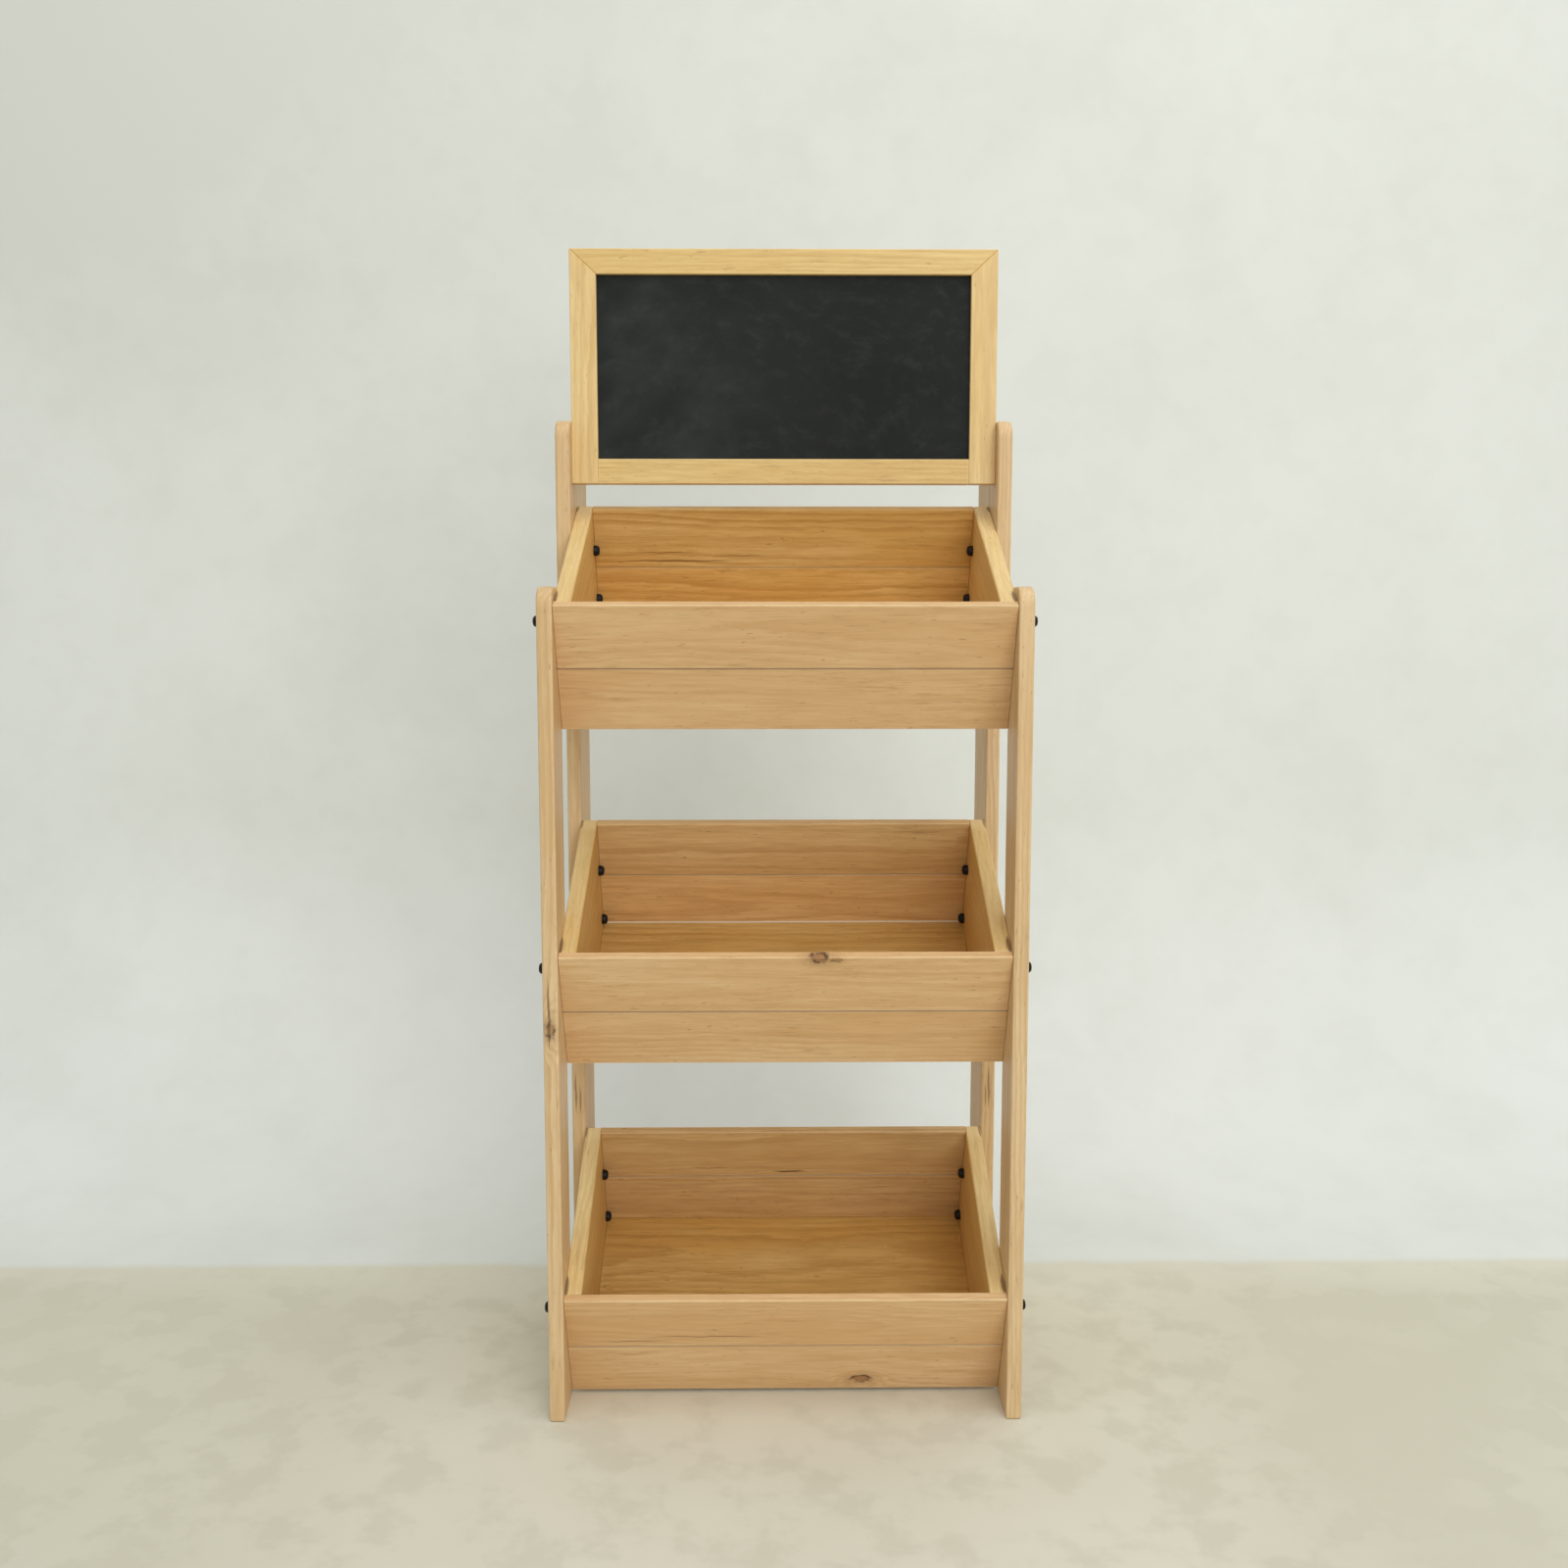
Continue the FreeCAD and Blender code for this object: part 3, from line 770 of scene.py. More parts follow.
@dataclass(frozen=True)
class PineFinish:
    """Clear-coated pine, cut from its own place in its own log.

    The pith, rings and wander are in metres. Two settings paint shade along the lower and upper edge,
    in the groove where two slats meet; another is the height of painted light along the lower edge, where
    the wall shows through the slit under the slat; pale_top is the strength of a paler band along the upper
    edge, and inside the side (1 or -1) of a face darkened with painted shade.
    """

    tone: PineTone
    seed: float
    pith_across: float = 0.015
    pith_depth: float = 0.05
    ring_width: float = 0.0045
    wander: float = 0.03
    knots: Tuple[Knot, ...] = ()
    dark_streaks: Tuple[DarkStreak, ...] = ()
    slit_light_height: float = 0.0
    groove_shade_below: float = 0.0
    groove_shade_above: float = 0.0
    inside: float = 0.0
    pale_top: float = 0.0
    roughness: float = 0.46

    # Shares and shades of each effect, the same for every board.
    fibre_share = 0.5
    dash_share = 0.4
    dash_shade = 0.62
    arris_wear = 0.002
    arris_share = 0.45
    end_share = 0.55
    end_shade = 0.82
    slit_light_share = 0.95
    halo_share = 0.5
    halo_shade = 0.8
    heart_share = 0.75
    bark_share = 0.95
    # Depths in metres below a board's faces where painted edges start and are full.
    inside_shade_band = (0.0014, 0.0004)
    pale_top_band = (0.0012, 0.0002)
    groove_shade_band = (0.0013, 0.0006)
    slit_light_blur = 0.0006
    # Relief and roughness, before the bump's own height.
    fibre_relief = 0.6
    late_relief = 0.35
    bark_groove = 0.8
    crack_groove = 1.5
    fibre_rough = 0.14
    late_rough = 0.05

    def dress(self, node: bpy.types.Object, grain: Grain) -> None:
        """Give one board its material.

        Args:
            node: The board.
            grain: How the board lies.
        """
        turn = Matrix(grain.axes()).transposed()
        spans = np.array([vertex.co for vertex in node.data.vertices]) @ np.array(turn)
        low, high = spans.min(axis=0), spans.max(axis=0)
        centre = turn @ Vector((low + high) / 2)
        half = Vector((high - low) / 2)
        material, graph, shader = new_material("pine_" + node.name)
        board = self._board_space(graph, centre, turn)
        colour, relief, rough = self._surface(graph, board, half)
        graph.feed(shader.inputs["Base Color"], colour)
        graph.feed(shader.inputs["Roughness"], rough)
        graph.feed(shader.inputs["Normal"], graph.bump(relief, strength=0.35, distance=0.0006))
        graph.feed(shader.inputs["Coat Weight"], 0.12)
        graph.feed(shader.inputs["Coat Roughness"], 0.32)
        put_on(node, material)

    @staticmethod
    def _board_space(graph: Graph, centre: Vector, turn: Matrix) -> bpy.types.NodeSocket:
        """Measure position from the board's middle along its own axes.

        Args:
            graph: The material's tree.
            centre: The board's middle.
            turn: Its axes, as columns.

        Returns:
            The position.
        """
        mapping = graph.node("ShaderNodeMapping", vector_type="TEXTURE")
        graph.feed(mapping.inputs["Vector"], graph.node("ShaderNodeTexCoord").outputs["Object"])
        mapping.inputs["Location"].default_value = centre
        mapping.inputs["Rotation"].default_value = turn.to_euler("XYZ")
        return mapping.outputs["Vector"]

    @staticmethod
    def _turned(graph: Graph, board: bpy.types.NodeSocket, on_edge: bool) -> bpy.types.NodeSocket:
        """Swap width and thickness for a mark that is on the board's edge.

        Args:
            graph: The material's tree.
            board: Position in the board.
            on_edge: Whether to swap.

        Returns:
            The position for the mark.
        """
        if not on_edge:
            return board
        along, across, through = graph.split(board)
        return graph.join(along, through, across)

    def _surface(self, graph: Graph, board: bpy.types.NodeSocket,
                 half: Vector) -> Tuple[Source, Source, Source]:
        """Wire colour, relief and roughness.

        Args:
            graph: The material's tree.
            board: Position in the board.
            half: Half of the board's length, width and thickness.

        Returns:
            Colour, relief height and roughness.
        """
        knots = [
            PINE_KNOT.place(graph, board=self._turned(graph, board, knot.on_edge),
                            centre=(knot.along, knot.across, knot.depth), size=knot.size)
            for knot in self.knots
        ]
        lift: Source = 0.0
        for made in knots:
            lift = graph.calc("ADD", lift, made["Lift"])
        rings = PINE_GRAIN.place(
            graph, board=board, pith=(0.0, self.pith_across, self.pith_depth),
            ring_width=self.ring_width, wander=self.wander, seed=self.seed, lift=lift,
        )
        colour = self._edges(graph, board, half, self._wood(graph, rings))
        relief = graph.calc("MULTIPLY", rings["Fibre"], self.fibre_relief)
        relief = graph.calc("ADD", relief, graph.calc("MULTIPLY", rings["Late"], self.late_relief))
        colour, relief = self._marks(graph, board, knots, colour, relief)
        rough = graph.calc("ADD", self.roughness, graph.calc("MULTIPLY", rings["Fibre"], self.fibre_rough))
        rough = graph.calc("SUBTRACT", rough, graph.calc("MULTIPLY", rings["Late"], self.late_rough))
        return colour, relief, rough

    def _wood(self, graph: Graph, rings: Sockets) -> Source:
        """Wire the colour of clear wood.

        Args:
            graph: The material's tree.
            rings: Outputs of the grain group.

        Returns:
            The colour.
        """
        tone = self.tone
        colour = graph.mix(graph.step(rings["Cloud"], 0.3, 0.72), tone.early, tone.warm)
        colour = graph.tint(rings["Late"], tone.ring_strength, colour, tone.late)
        colour = graph.tint(graph.step(rings["Fibre"], 0.38, 0.66), self.fibre_share, colour, tone.late)
        return graph.tint(rings["Dash"], self.dash_share, colour, scaled(tone.late, self.dash_shade))

    def _edges(self, graph: Graph, board: bpy.types.NodeSocket, half: Vector, colour: Source) -> Source:
        """Wire worn arrises, end grain, painted shade on the faces inside the bins and in the grooves between
        slats, a paler band along the upper edge, and painted light along the lower edge.

        Args:
            graph: The material's tree.
            board: Position in the board.
            half: Half of the board's length, width and thickness.
            colour: Colour so far.

        Returns:
            The colour with edges.
        """
        tone = self.tone
        edge = BOARD_EDGE.place(graph, board=board, half=half, wear=self.arris_wear)
        colour = graph.tint(edge["Arris"], self.arris_share, colour, tone.edge)
        colour = graph.tint(edge["End"], self.end_share, colour, scaled(tone.warm, self.end_shade))
        _, across, through = graph.split(board)
        # Painted shade on the face that looks into the bin.
        if self.inside:
            facing = graph.calc("MULTIPLY", through, self.inside)
            inside_shade_mask = graph.step(facing, *(half.z - depth for depth in self.inside_shade_band))
            colour = graph.mix(inside_shade_mask, colour, graph.mix(1.0, colour, PAINTED_INSIDE_SHADE, "MULTIPLY"))
        # Paler band along the upper edge.
        if self.pale_top:
            top = graph.step(across, *(half.y - depth for depth in self.pale_top_band))
            colour = graph.tint(top, self.pale_top, colour, tone.edge)
        # Painted shade along the lower or upper edge, in the groove where two slats meet.
        for strength, outward in ((self.groove_shade_below, -1.0), (self.groove_shade_above, 1.0)):
            if strength:
                reach = graph.calc("MULTIPLY", across, outward)
                groove_shade_mask = graph.step(reach, *(half.y - depth for depth in self.groove_shade_band))
                colour = graph.tint(groove_shade_mask, strength, colour, GROOVE_SHADE)
        # Painted light along the lower edge, where the wall shows through the slit under the slat.
        if self.slit_light_height:
            top = self.slit_light_height - half.y
            slit_light_mask = graph.step(across, top, top + self.slit_light_blur, 1.0, 0.0)
            colour = graph.tint(slit_light_mask, self.slit_light_share, colour, SLIT_LIGHT)
        return colour

    def _marks(self, graph: Graph, board: bpy.types.NodeSocket, knots: Sequence[Sockets],
               colour: Source, relief: Source) -> Tuple[Source, Source]:
        """Wire knots, drying splits and painted contact shadows.

        Args:
            graph: The material's tree.
            board: Position in the board.
            knots: Outputs of each knot's group.
            colour: Colour so far.
            relief: Relief so far.

        Returns:
            Colour and relief with the marks.
        """
        for knot, made in zip(self.knots, knots):
            halo = scaled(self.tone.late, self.halo_shade)
            colour = graph.tint(made["Halo"], self.halo_share * knot.strength, colour, halo)
            colour = graph.tint(made["Core"], self.heart_share * knot.strength, colour, KNOT_HEART)
            colour = graph.tint(made["Rim"], self.bark_share * knot.strength, colour, KNOT_BARK)
            groove = graph.calc("MULTIPLY", made["Rim"], self.bark_groove)
            relief = graph.calc("SUBTRACT", relief, groove)
        # Drying splits, and painted contact shadows in the same dark colour.
        for each_streak in self.dark_streaks:
            made = SPLIT_AND_SHADOW_STREAK.place(
                graph, board=self._turned(graph, board, each_streak.on_edge),
                centre=(each_streak.along, each_streak.across, 0.0), length=each_streak.length, opening=each_streak.opening,
            )
            share = graph.calc("MULTIPLY", made["Gap"], each_streak.strength)
            colour = graph.mix(share, colour, SPLIT_AND_SHADOW_DARK)
            relief = graph.calc("SUBTRACT", relief, graph.calc("MULTIPLY", share, self.crack_groove))
        return colour, relief


@dataclass(frozen=True)
class ChalkboardFinish:
    """Matt charcoal paint with the ghosts of wiped chalk."""

    paint: Colour = linear(25, 28, 26)
    chalk: Colour = linear(74, 77, 74)
    seed: float = 4.2
    stipple_scale: Tuple[float, float, float] = (900.0, 900.0, 900.0)

    def dress(self, node: bpy.types.Object) -> None:
        """Give the sheet its material.

        Args:
            node: The chalkboard sheet.
        """
        material, graph, shader = new_material("chalkboard_paint")
        place = graph.node("ShaderNodeTexCoord").outputs["Object"]
        along, _, up = graph.split(place)
        dust = CHALK_DUST.place(graph, board=graph.join(along, up, 0.0), seed=self.seed)
        # More haze towards the left, so the sheet is lighter there.
        haze_towards_left = graph.step(along, 0.1, -0.22, 0.04, 0.5)
        colour = graph.mix(graph.calc("MULTIPLY", dust["Haze"], haze_towards_left), self.paint, self.chalk)
        colour = graph.tint(dust["Streak"], 0.2, colour, self.chalk)
        colour = graph.tint(dust["Speck"], 0.3, colour, self.chalk)
        rough = graph.calc("ADD", 0.72, graph.calc("MULTIPLY", dust["Haze"], 0.16))
        stipple = graph.noise(place, self.stipple_scale, 2.0, 0.6)
        graph.feed(shader.inputs["Base Color"], colour)
        graph.feed(shader.inputs["Roughness"], rough)
        graph.feed(shader.inputs["Specular IOR Level"], 0.25)
        graph.feed(shader.inputs["Normal"], graph.bump(stipple, strength=0.25, distance=0.0002))
        put_on(node, material)


@dataclass(frozen=True)
class BlackedSteel:
    """Black-coated screw steel, rubbed a little where a driver touched it."""

    coat: Colour = linear(17, 16, 15)
    rubbed: Colour = linear(46, 43, 40)
    patch_scale: Tuple[float, float, float] = (420.0, 420.0, 420.0)

    def make(self) -> bpy.types.Material:
        """Make the material shared by every screw.

        Returns:
            The material.
        """
        material, graph, shader = new_material("blacked_steel")
        place = graph.node("ShaderNodeTexCoord").outputs["Object"]
        patch = graph.noise(place, self.patch_scale, 3.0, 0.6)
        worn = graph.step(patch, 0.55, 0.78)
        graph.feed(shader.inputs["Base Color"], graph.tint(worn, 0.5, self.coat, self.rubbed))
        rough = graph.calc("SUBTRACT", 0.5, graph.calc("MULTIPLY", worn, 0.15))
        graph.feed(shader.inputs["Roughness"], rough)
        graph.feed(shader.inputs["Metallic"], graph.calc("MULTIPLY", worn, 0.4))
        graph.feed(shader.inputs["Specular IOR Level"], 0.3)
        graph.feed(shader.inputs["Normal"], graph.bump(patch, strength=0.2, distance=0.0002))
        return material


def deselect() -> None:
    """Leave nothing selected, so an operator acts only on what is meant."""
    for item in list(bpy.context.selected_objects):
        item.select_set(False)


# ---------------------------------------------------------------------------
# Sub-assemblies
# ---------------------------------------------------------------------------
@dataclass
class SideFrames:
    """Front legs, back legs and header posts, left and right."""

    leg_knot: Knot = Knot(along=-0.014, across=0.001, size=0.0045, strength=0.9, depth=-0.033, on_edge=True)
    leg_crack: DarkStreak = DarkStreak(along=0.002, across=0.002, length=0.09, opening=0.0013, on_edge=True)
    left_cracks: Tuple[DarkStreak, ...] = (
        DarkStreak(along=-0.225, across=0.003, length=0.06, opening=0.0013, strength=0.6, on_edge=True),
        DarkStreak(along=-0.235, across=-0.002, length=0.04, opening=0.0012, strength=0.55, on_edge=True),
    )
    right_cracks: Tuple[DarkStreak, ...] = (
        DarkStreak(along=-0.22, across=-0.001, length=0.06, opening=0.0013, strength=0.6, on_edge=True),
        DarkStreak(along=-0.23, across=0.003, length=0.035, opening=0.0011, strength=0.5, on_edge=True),
    )

    def build(self) -> None:
        """Dress the six uprights."""
        finishes = {
            "left_front_leg": PineFinish(
                PALE, seed=1.3, pith_across=0.02, pith_depth=0.03, ring_width=0.004, wander=0.02,
                knots=(self.leg_knot,), dark_streaks=(self.leg_crack,)),
            "right_front_leg": PineFinish(
                PALE, seed=2.6, pith_across=-0.015, pith_depth=0.035, ring_width=0.0045, wander=0.02),
            "left_back_leg": PineFinish(
                PALE, seed=3.9, pith_across=0.01, pith_depth=0.04, ring_width=0.005, dark_streaks=self.left_cracks),
            "right_back_leg": PineFinish(
                PALE, seed=5.1, pith_across=-0.02, pith_depth=0.03, ring_width=0.0042,
                dark_streaks=self.right_cracks),
            "left_header_post": PineFinish(
                PALE, seed=6.4, pith_across=0.01, pith_depth=0.03, ring_width=0.004, wander=0.015),
            "right_header_post": PineFinish(
                PALE, seed=7.7, pith_across=-0.01, pith_depth=0.03, ring_width=0.004, wander=0.015),
        }
        for name, finish in finishes.items():
            finish.dress(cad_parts[name], Grain.UPRIGHT)
            LOG.info("upright %s dressed", name)


@dataclass
class Bin:
    """One tilted bin: four slats, two side boards and a floor."""

    tier: str
    seed: float
    front_upper: PineFinish
    front_lower: PineFinish
    back_upper: PineFinish
    back_lower: PineFinish
    # Painted contact shadows where the side boards' top edges meet the front and back legs.
    front_contact_shadow: DarkStreak = DarkStreak(
        along=-0.109, across=0.0072, length=0.034, opening=0.0024, strength=0.75, on_edge=True)
    back_contact_shadow: DarkStreak = DarkStreak(
        along=0.112, across=0.0075, length=0.026, opening=0.0016, strength=0.6, on_edge=True)
    pale_top_share: float = 0.6

    def build(self) -> None:
        """Dress the seven boards."""
        boards = {
            "front_slat_upper": (self.front_upper, Grain.ACROSS_TILTED),
            "front_slat_lower": (self.front_lower, Grain.ACROSS_TILTED),
            "back_slat_upper": (self.back_upper, Grain.ACROSS_TILTED),
            "back_slat_lower": (self.back_lower, Grain.ACROSS_TILTED),
            "side_left": (PineFinish(
                STRAW, seed=self.seed + 1.1, pith_across=0.03, pith_depth=0.04, ring_width=0.005,
                inside=1.0, pale_top=self.pale_top_share, dark_streaks=self._contact_shadows(-1.0)), Grain.DEPTH_TILTED),
            "side_right": (PineFinish(
                STRAW, seed=self.seed + 2.3, pith_across=-0.02, pith_depth=0.05, ring_width=0.0045,
                inside=-1.0, pale_top=self.pale_top_share, dark_streaks=self._contact_shadows(1.0)), Grain.DEPTH_TILTED),
            "base": (PineFinish(
                AMBER, seed=self.seed + 3.7, pith_across=0.05, pith_depth=0.06, ring_width=0.006,
                wander=0.04), Grain.ACROSS_FLOOR),
        }
        for part, (finish, grain) in boards.items():
            finish.dress(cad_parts["%s_%s" % (self.tier, part)], grain)
        LOG.info("%s bin: %d boards dressed", self.tier, len(boards))

    def _contact_shadows(self, outward: float) -> Tuple[DarkStreak, ...]:
        """Place painted contact shadows on a side board's top edge, where it meets the front and back legs.

        Args:
            outward: Side of the board that the legs are on, along X.

        Returns:
            The marks.
        """
        return tuple(
            replace(mark, across=mark.across * outward) for mark in (self.front_contact_shadow, self.back_contact_shadow)
        )


@dataclass
class Sign:
    """The framed chalkboard."""

    sheet: ChalkboardFinish = ChalkboardFinish()
    rail_knot: Knot = Knot(along=-0.012, across=-0.004, size=0.0028, strength=0.4, depth=-0.009)
    ring_width: float = 0.004
    wander: float = 0.02

    def build(self) -> None:
        """Dress the frame and the sheet."""
        for name, tone, seed, pith_across, knots, grain in (
            ("sign_top_rail", GILT, 20.1, 0.02, (), Grain.RAIL),
            ("sign_bottom_rail", GILT, 21.4, -0.02, (self.rail_knot,), Grain.RAIL),
            ("sign_left_stile", STRAW, 22.9, 0.02, (), Grain.STILE),
            ("sign_right_stile", STRAW, 24.3, 0.01, (), Grain.STILE),
        ):
            finish = PineFinish(
                tone, seed=seed, pith_across=pith_across, pith_depth=0.03,
                ring_width=self.ring_width, wander=self.wander, knots=knots,
            )
            finish.dress(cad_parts[name], grain)
        self.sheet.dress(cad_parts["chalkboard_panel"])
        LOG.info("sign: frame and sheet dressed")


class Facing(Enum):
    """Which way the heads of a group of screws look."""

    OUTWARD = 1
    INWARD = -1


@dataclass
class ScrewSet:
    """Four pan-head screws of one bin, two on each side."""

    tier: str
    facing: Facing
    steel: bpy.types.Material
    head_radius: float = 0.006
    head_height: float = 0.0065
    rim_height: float = 0.0025
    crown_share: float = 0.42
    dome_steps: int = 4
    socket_radius: float = 0.002
    socket_depth: float = 0.0016
    shank_radius: float = 0.0025
    shank_length: float = 0.03
    around: int = 32
    smooth_below: float = math.radians(40.0)

    def build(self) -> bpy.types.Object:
        """Model one screw, copy it to its four places and join the copies.

        Returns:
            The finished group.
        """
        node = "%s_%s_screws" % (self.tier, "front" if self.facing is Facing.OUTWARD else "back")
        pattern = self._model()
        copies = []
        for spot in self._places(node):
            copy = pattern.copy()
            copy.data = pattern.data.copy()
            copy.data.transform(spot)
            bpy.context.scene.collection.objects.link(copy)
            copies.append(copy)
        bpy.data.objects.remove(pattern)
        deselect()
        for copy in copies:
            copy.select_set(True)
        bpy.context.view_layer.objects.active = copies[0]
        bpy.ops.object.join()
        group = bpy.context.view_layer.objects.active
        group.name = node.replace("screws", "pan_screws")
        put_on(group, self.steel)
        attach(group, BODY)
        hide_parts(node)
        LOG.info("%s: %d screws", group.name, len(copies))
        return group

    def _places(self, node: str) -> List[Matrix]:
        """Find where the four heads sit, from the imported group's box.

        Args:
            node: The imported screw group.

        Returns:
            One matrix for each screw, from the pattern's axes to its place.
        """
        low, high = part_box(node)
        seat = high.x - (self.head_height if self.facing is Facing.OUTWARD else self.shank_length)
        spots = (
            (low.y + self.head_radius, high.z - self.head_radius),
            (high.y - self.head_radius, low.z + self.head_radius),
        )
        made = []
        for side in (-1, 1):
            look = side * self.facing.value
            turn = Matrix.Rotation(math.radians(90.0 * look), 4, "Y")
            for back, up in spots:
                made.append(Matrix.Translation((side * seat, back, up)) @ turn)
        return made

    def _model(self) -> bpy.types.Object:
        """Model one screw at the origin, its head towards +Z.

        Returns:
            The screw.
        """
        deselect()
        bpy.ops.mesh.primitive_cylinder_add(
            vertices=self.around, radius=self.head_radius, depth=self.rim_height,
            location=(0.0, 0.0, self.rim_height / 2),
        )
        screw = bpy.context.view_layer.objects.active
        bpy.ops.object.transform_apply(location=True, rotation=True, scale=True)
        bpy.ops.object.mode_set(mode="EDIT")
        level = self._dome(screw)
        self._inset(screw, level, self.crown_share * self.head_radius - self.socket_radius)
        self._extrude(-self.socket_depth)
        self._inset(screw, 0.0, self.head_radius - self.shank_radius)
        self._extrude(-self.shank_length)
        bpy.ops.mesh.select_all(action="SELECT")
        bpy.ops.mesh.normals_make_consistent(inside=False)
        bpy.ops.object.mode_set(mode="OBJECT")
        bpy.ops.object.shade_smooth_by_angle(angle=self.smooth_below)
        return screw

    def _dome(self, screw: bpy.types.Object) -> float:
        """Raise the head above its rim in steps along a quarter ellipse.

        Args:
            screw: The piece being modelled, in edit mode.

        Returns:
            Height of the crown.
        """
        level = self.rim_height
        before = 1.0
        for index in range(1, self.dome_steps + 1):
            angle = index / self.dome_steps * math.pi / 2
            above = self.rim_height + (self.head_height - self.rim_height) * math.sin(angle)
            width = self.crown_share + (1.0 - self.crown_share) * math.cos(angle)
            self._pick(screw, level)
            self._extrude(above - level)
            bpy.ops.transform.resize(
                value=(width / before, width / before, 1.0), center_override=(0.0, 0.0, above))
            level = above
            before = width
        return level

    @staticmethod
    def _extrude(rise: float) -> None:
        """Extrude the selected face along Z.

        Args:
            rise: How far, downwards when negative.
        """
        bpy.ops.mesh.extrude_region_move(TRANSFORM_OT_translate={"value": (0.0, 0.0, rise)})

    def _inset(self, screw: bpy.types.Object, level: float, thickness: float) -> None:
        """Inset the flat face at one level.

        Args:
            screw: The piece being modelled, in edit mode.
            level: Height of the face.
            thickness: Width of the ring that is left round it.
        """
        self._pick(screw, level)
        bpy.ops.mesh.inset(thickness=thickness)

    @staticmethod
    def _pick(screw: bpy.types.Object, level: float) -> None:
        """Select only the flat face at one level, in edit mode.

        Args:
            screw: The piece being modelled.
            level: Height of the face.
        """
        bpy.ops.mesh.select_mode(type="FACE")
        bpy.ops.mesh.select_all(action="DESELECT")
        work = bmesh.from_edit_mesh(screw.data)
        for face in work.faces:
            flat = abs(face.normal.z) > 0.99
            face.select_set(flat and abs(face.calc_center_median().z - level) < 1e-6)
        bmesh.update_edit_mesh(screw.data)


@dataclass(frozen=True)
class Lamp:
    """A square soft lamp, in metres and watts."""

    name: str
    place: Tuple[float, float, float]
    aim: Tuple[float, float, float]
    size: float
    power: float

    def hang(self) -> None:
        """Put the lamp in the scene, turned to what it lights."""
        data = bpy.data.lights.new(self.name, "AREA")
        data.shape = "SQUARE"
        data.size = self.size
        data.energy = self.power
        lamp = bpy.data.objects.new(self.name, data)
        lamp.location = self.place
        look = Vector(self.aim) - Vector(self.place)
        lamp.rotation_euler = look.to_track_quat("-Z", "Y").to_euler()
        bpy.context.scene.collection.objects.link(lamp)


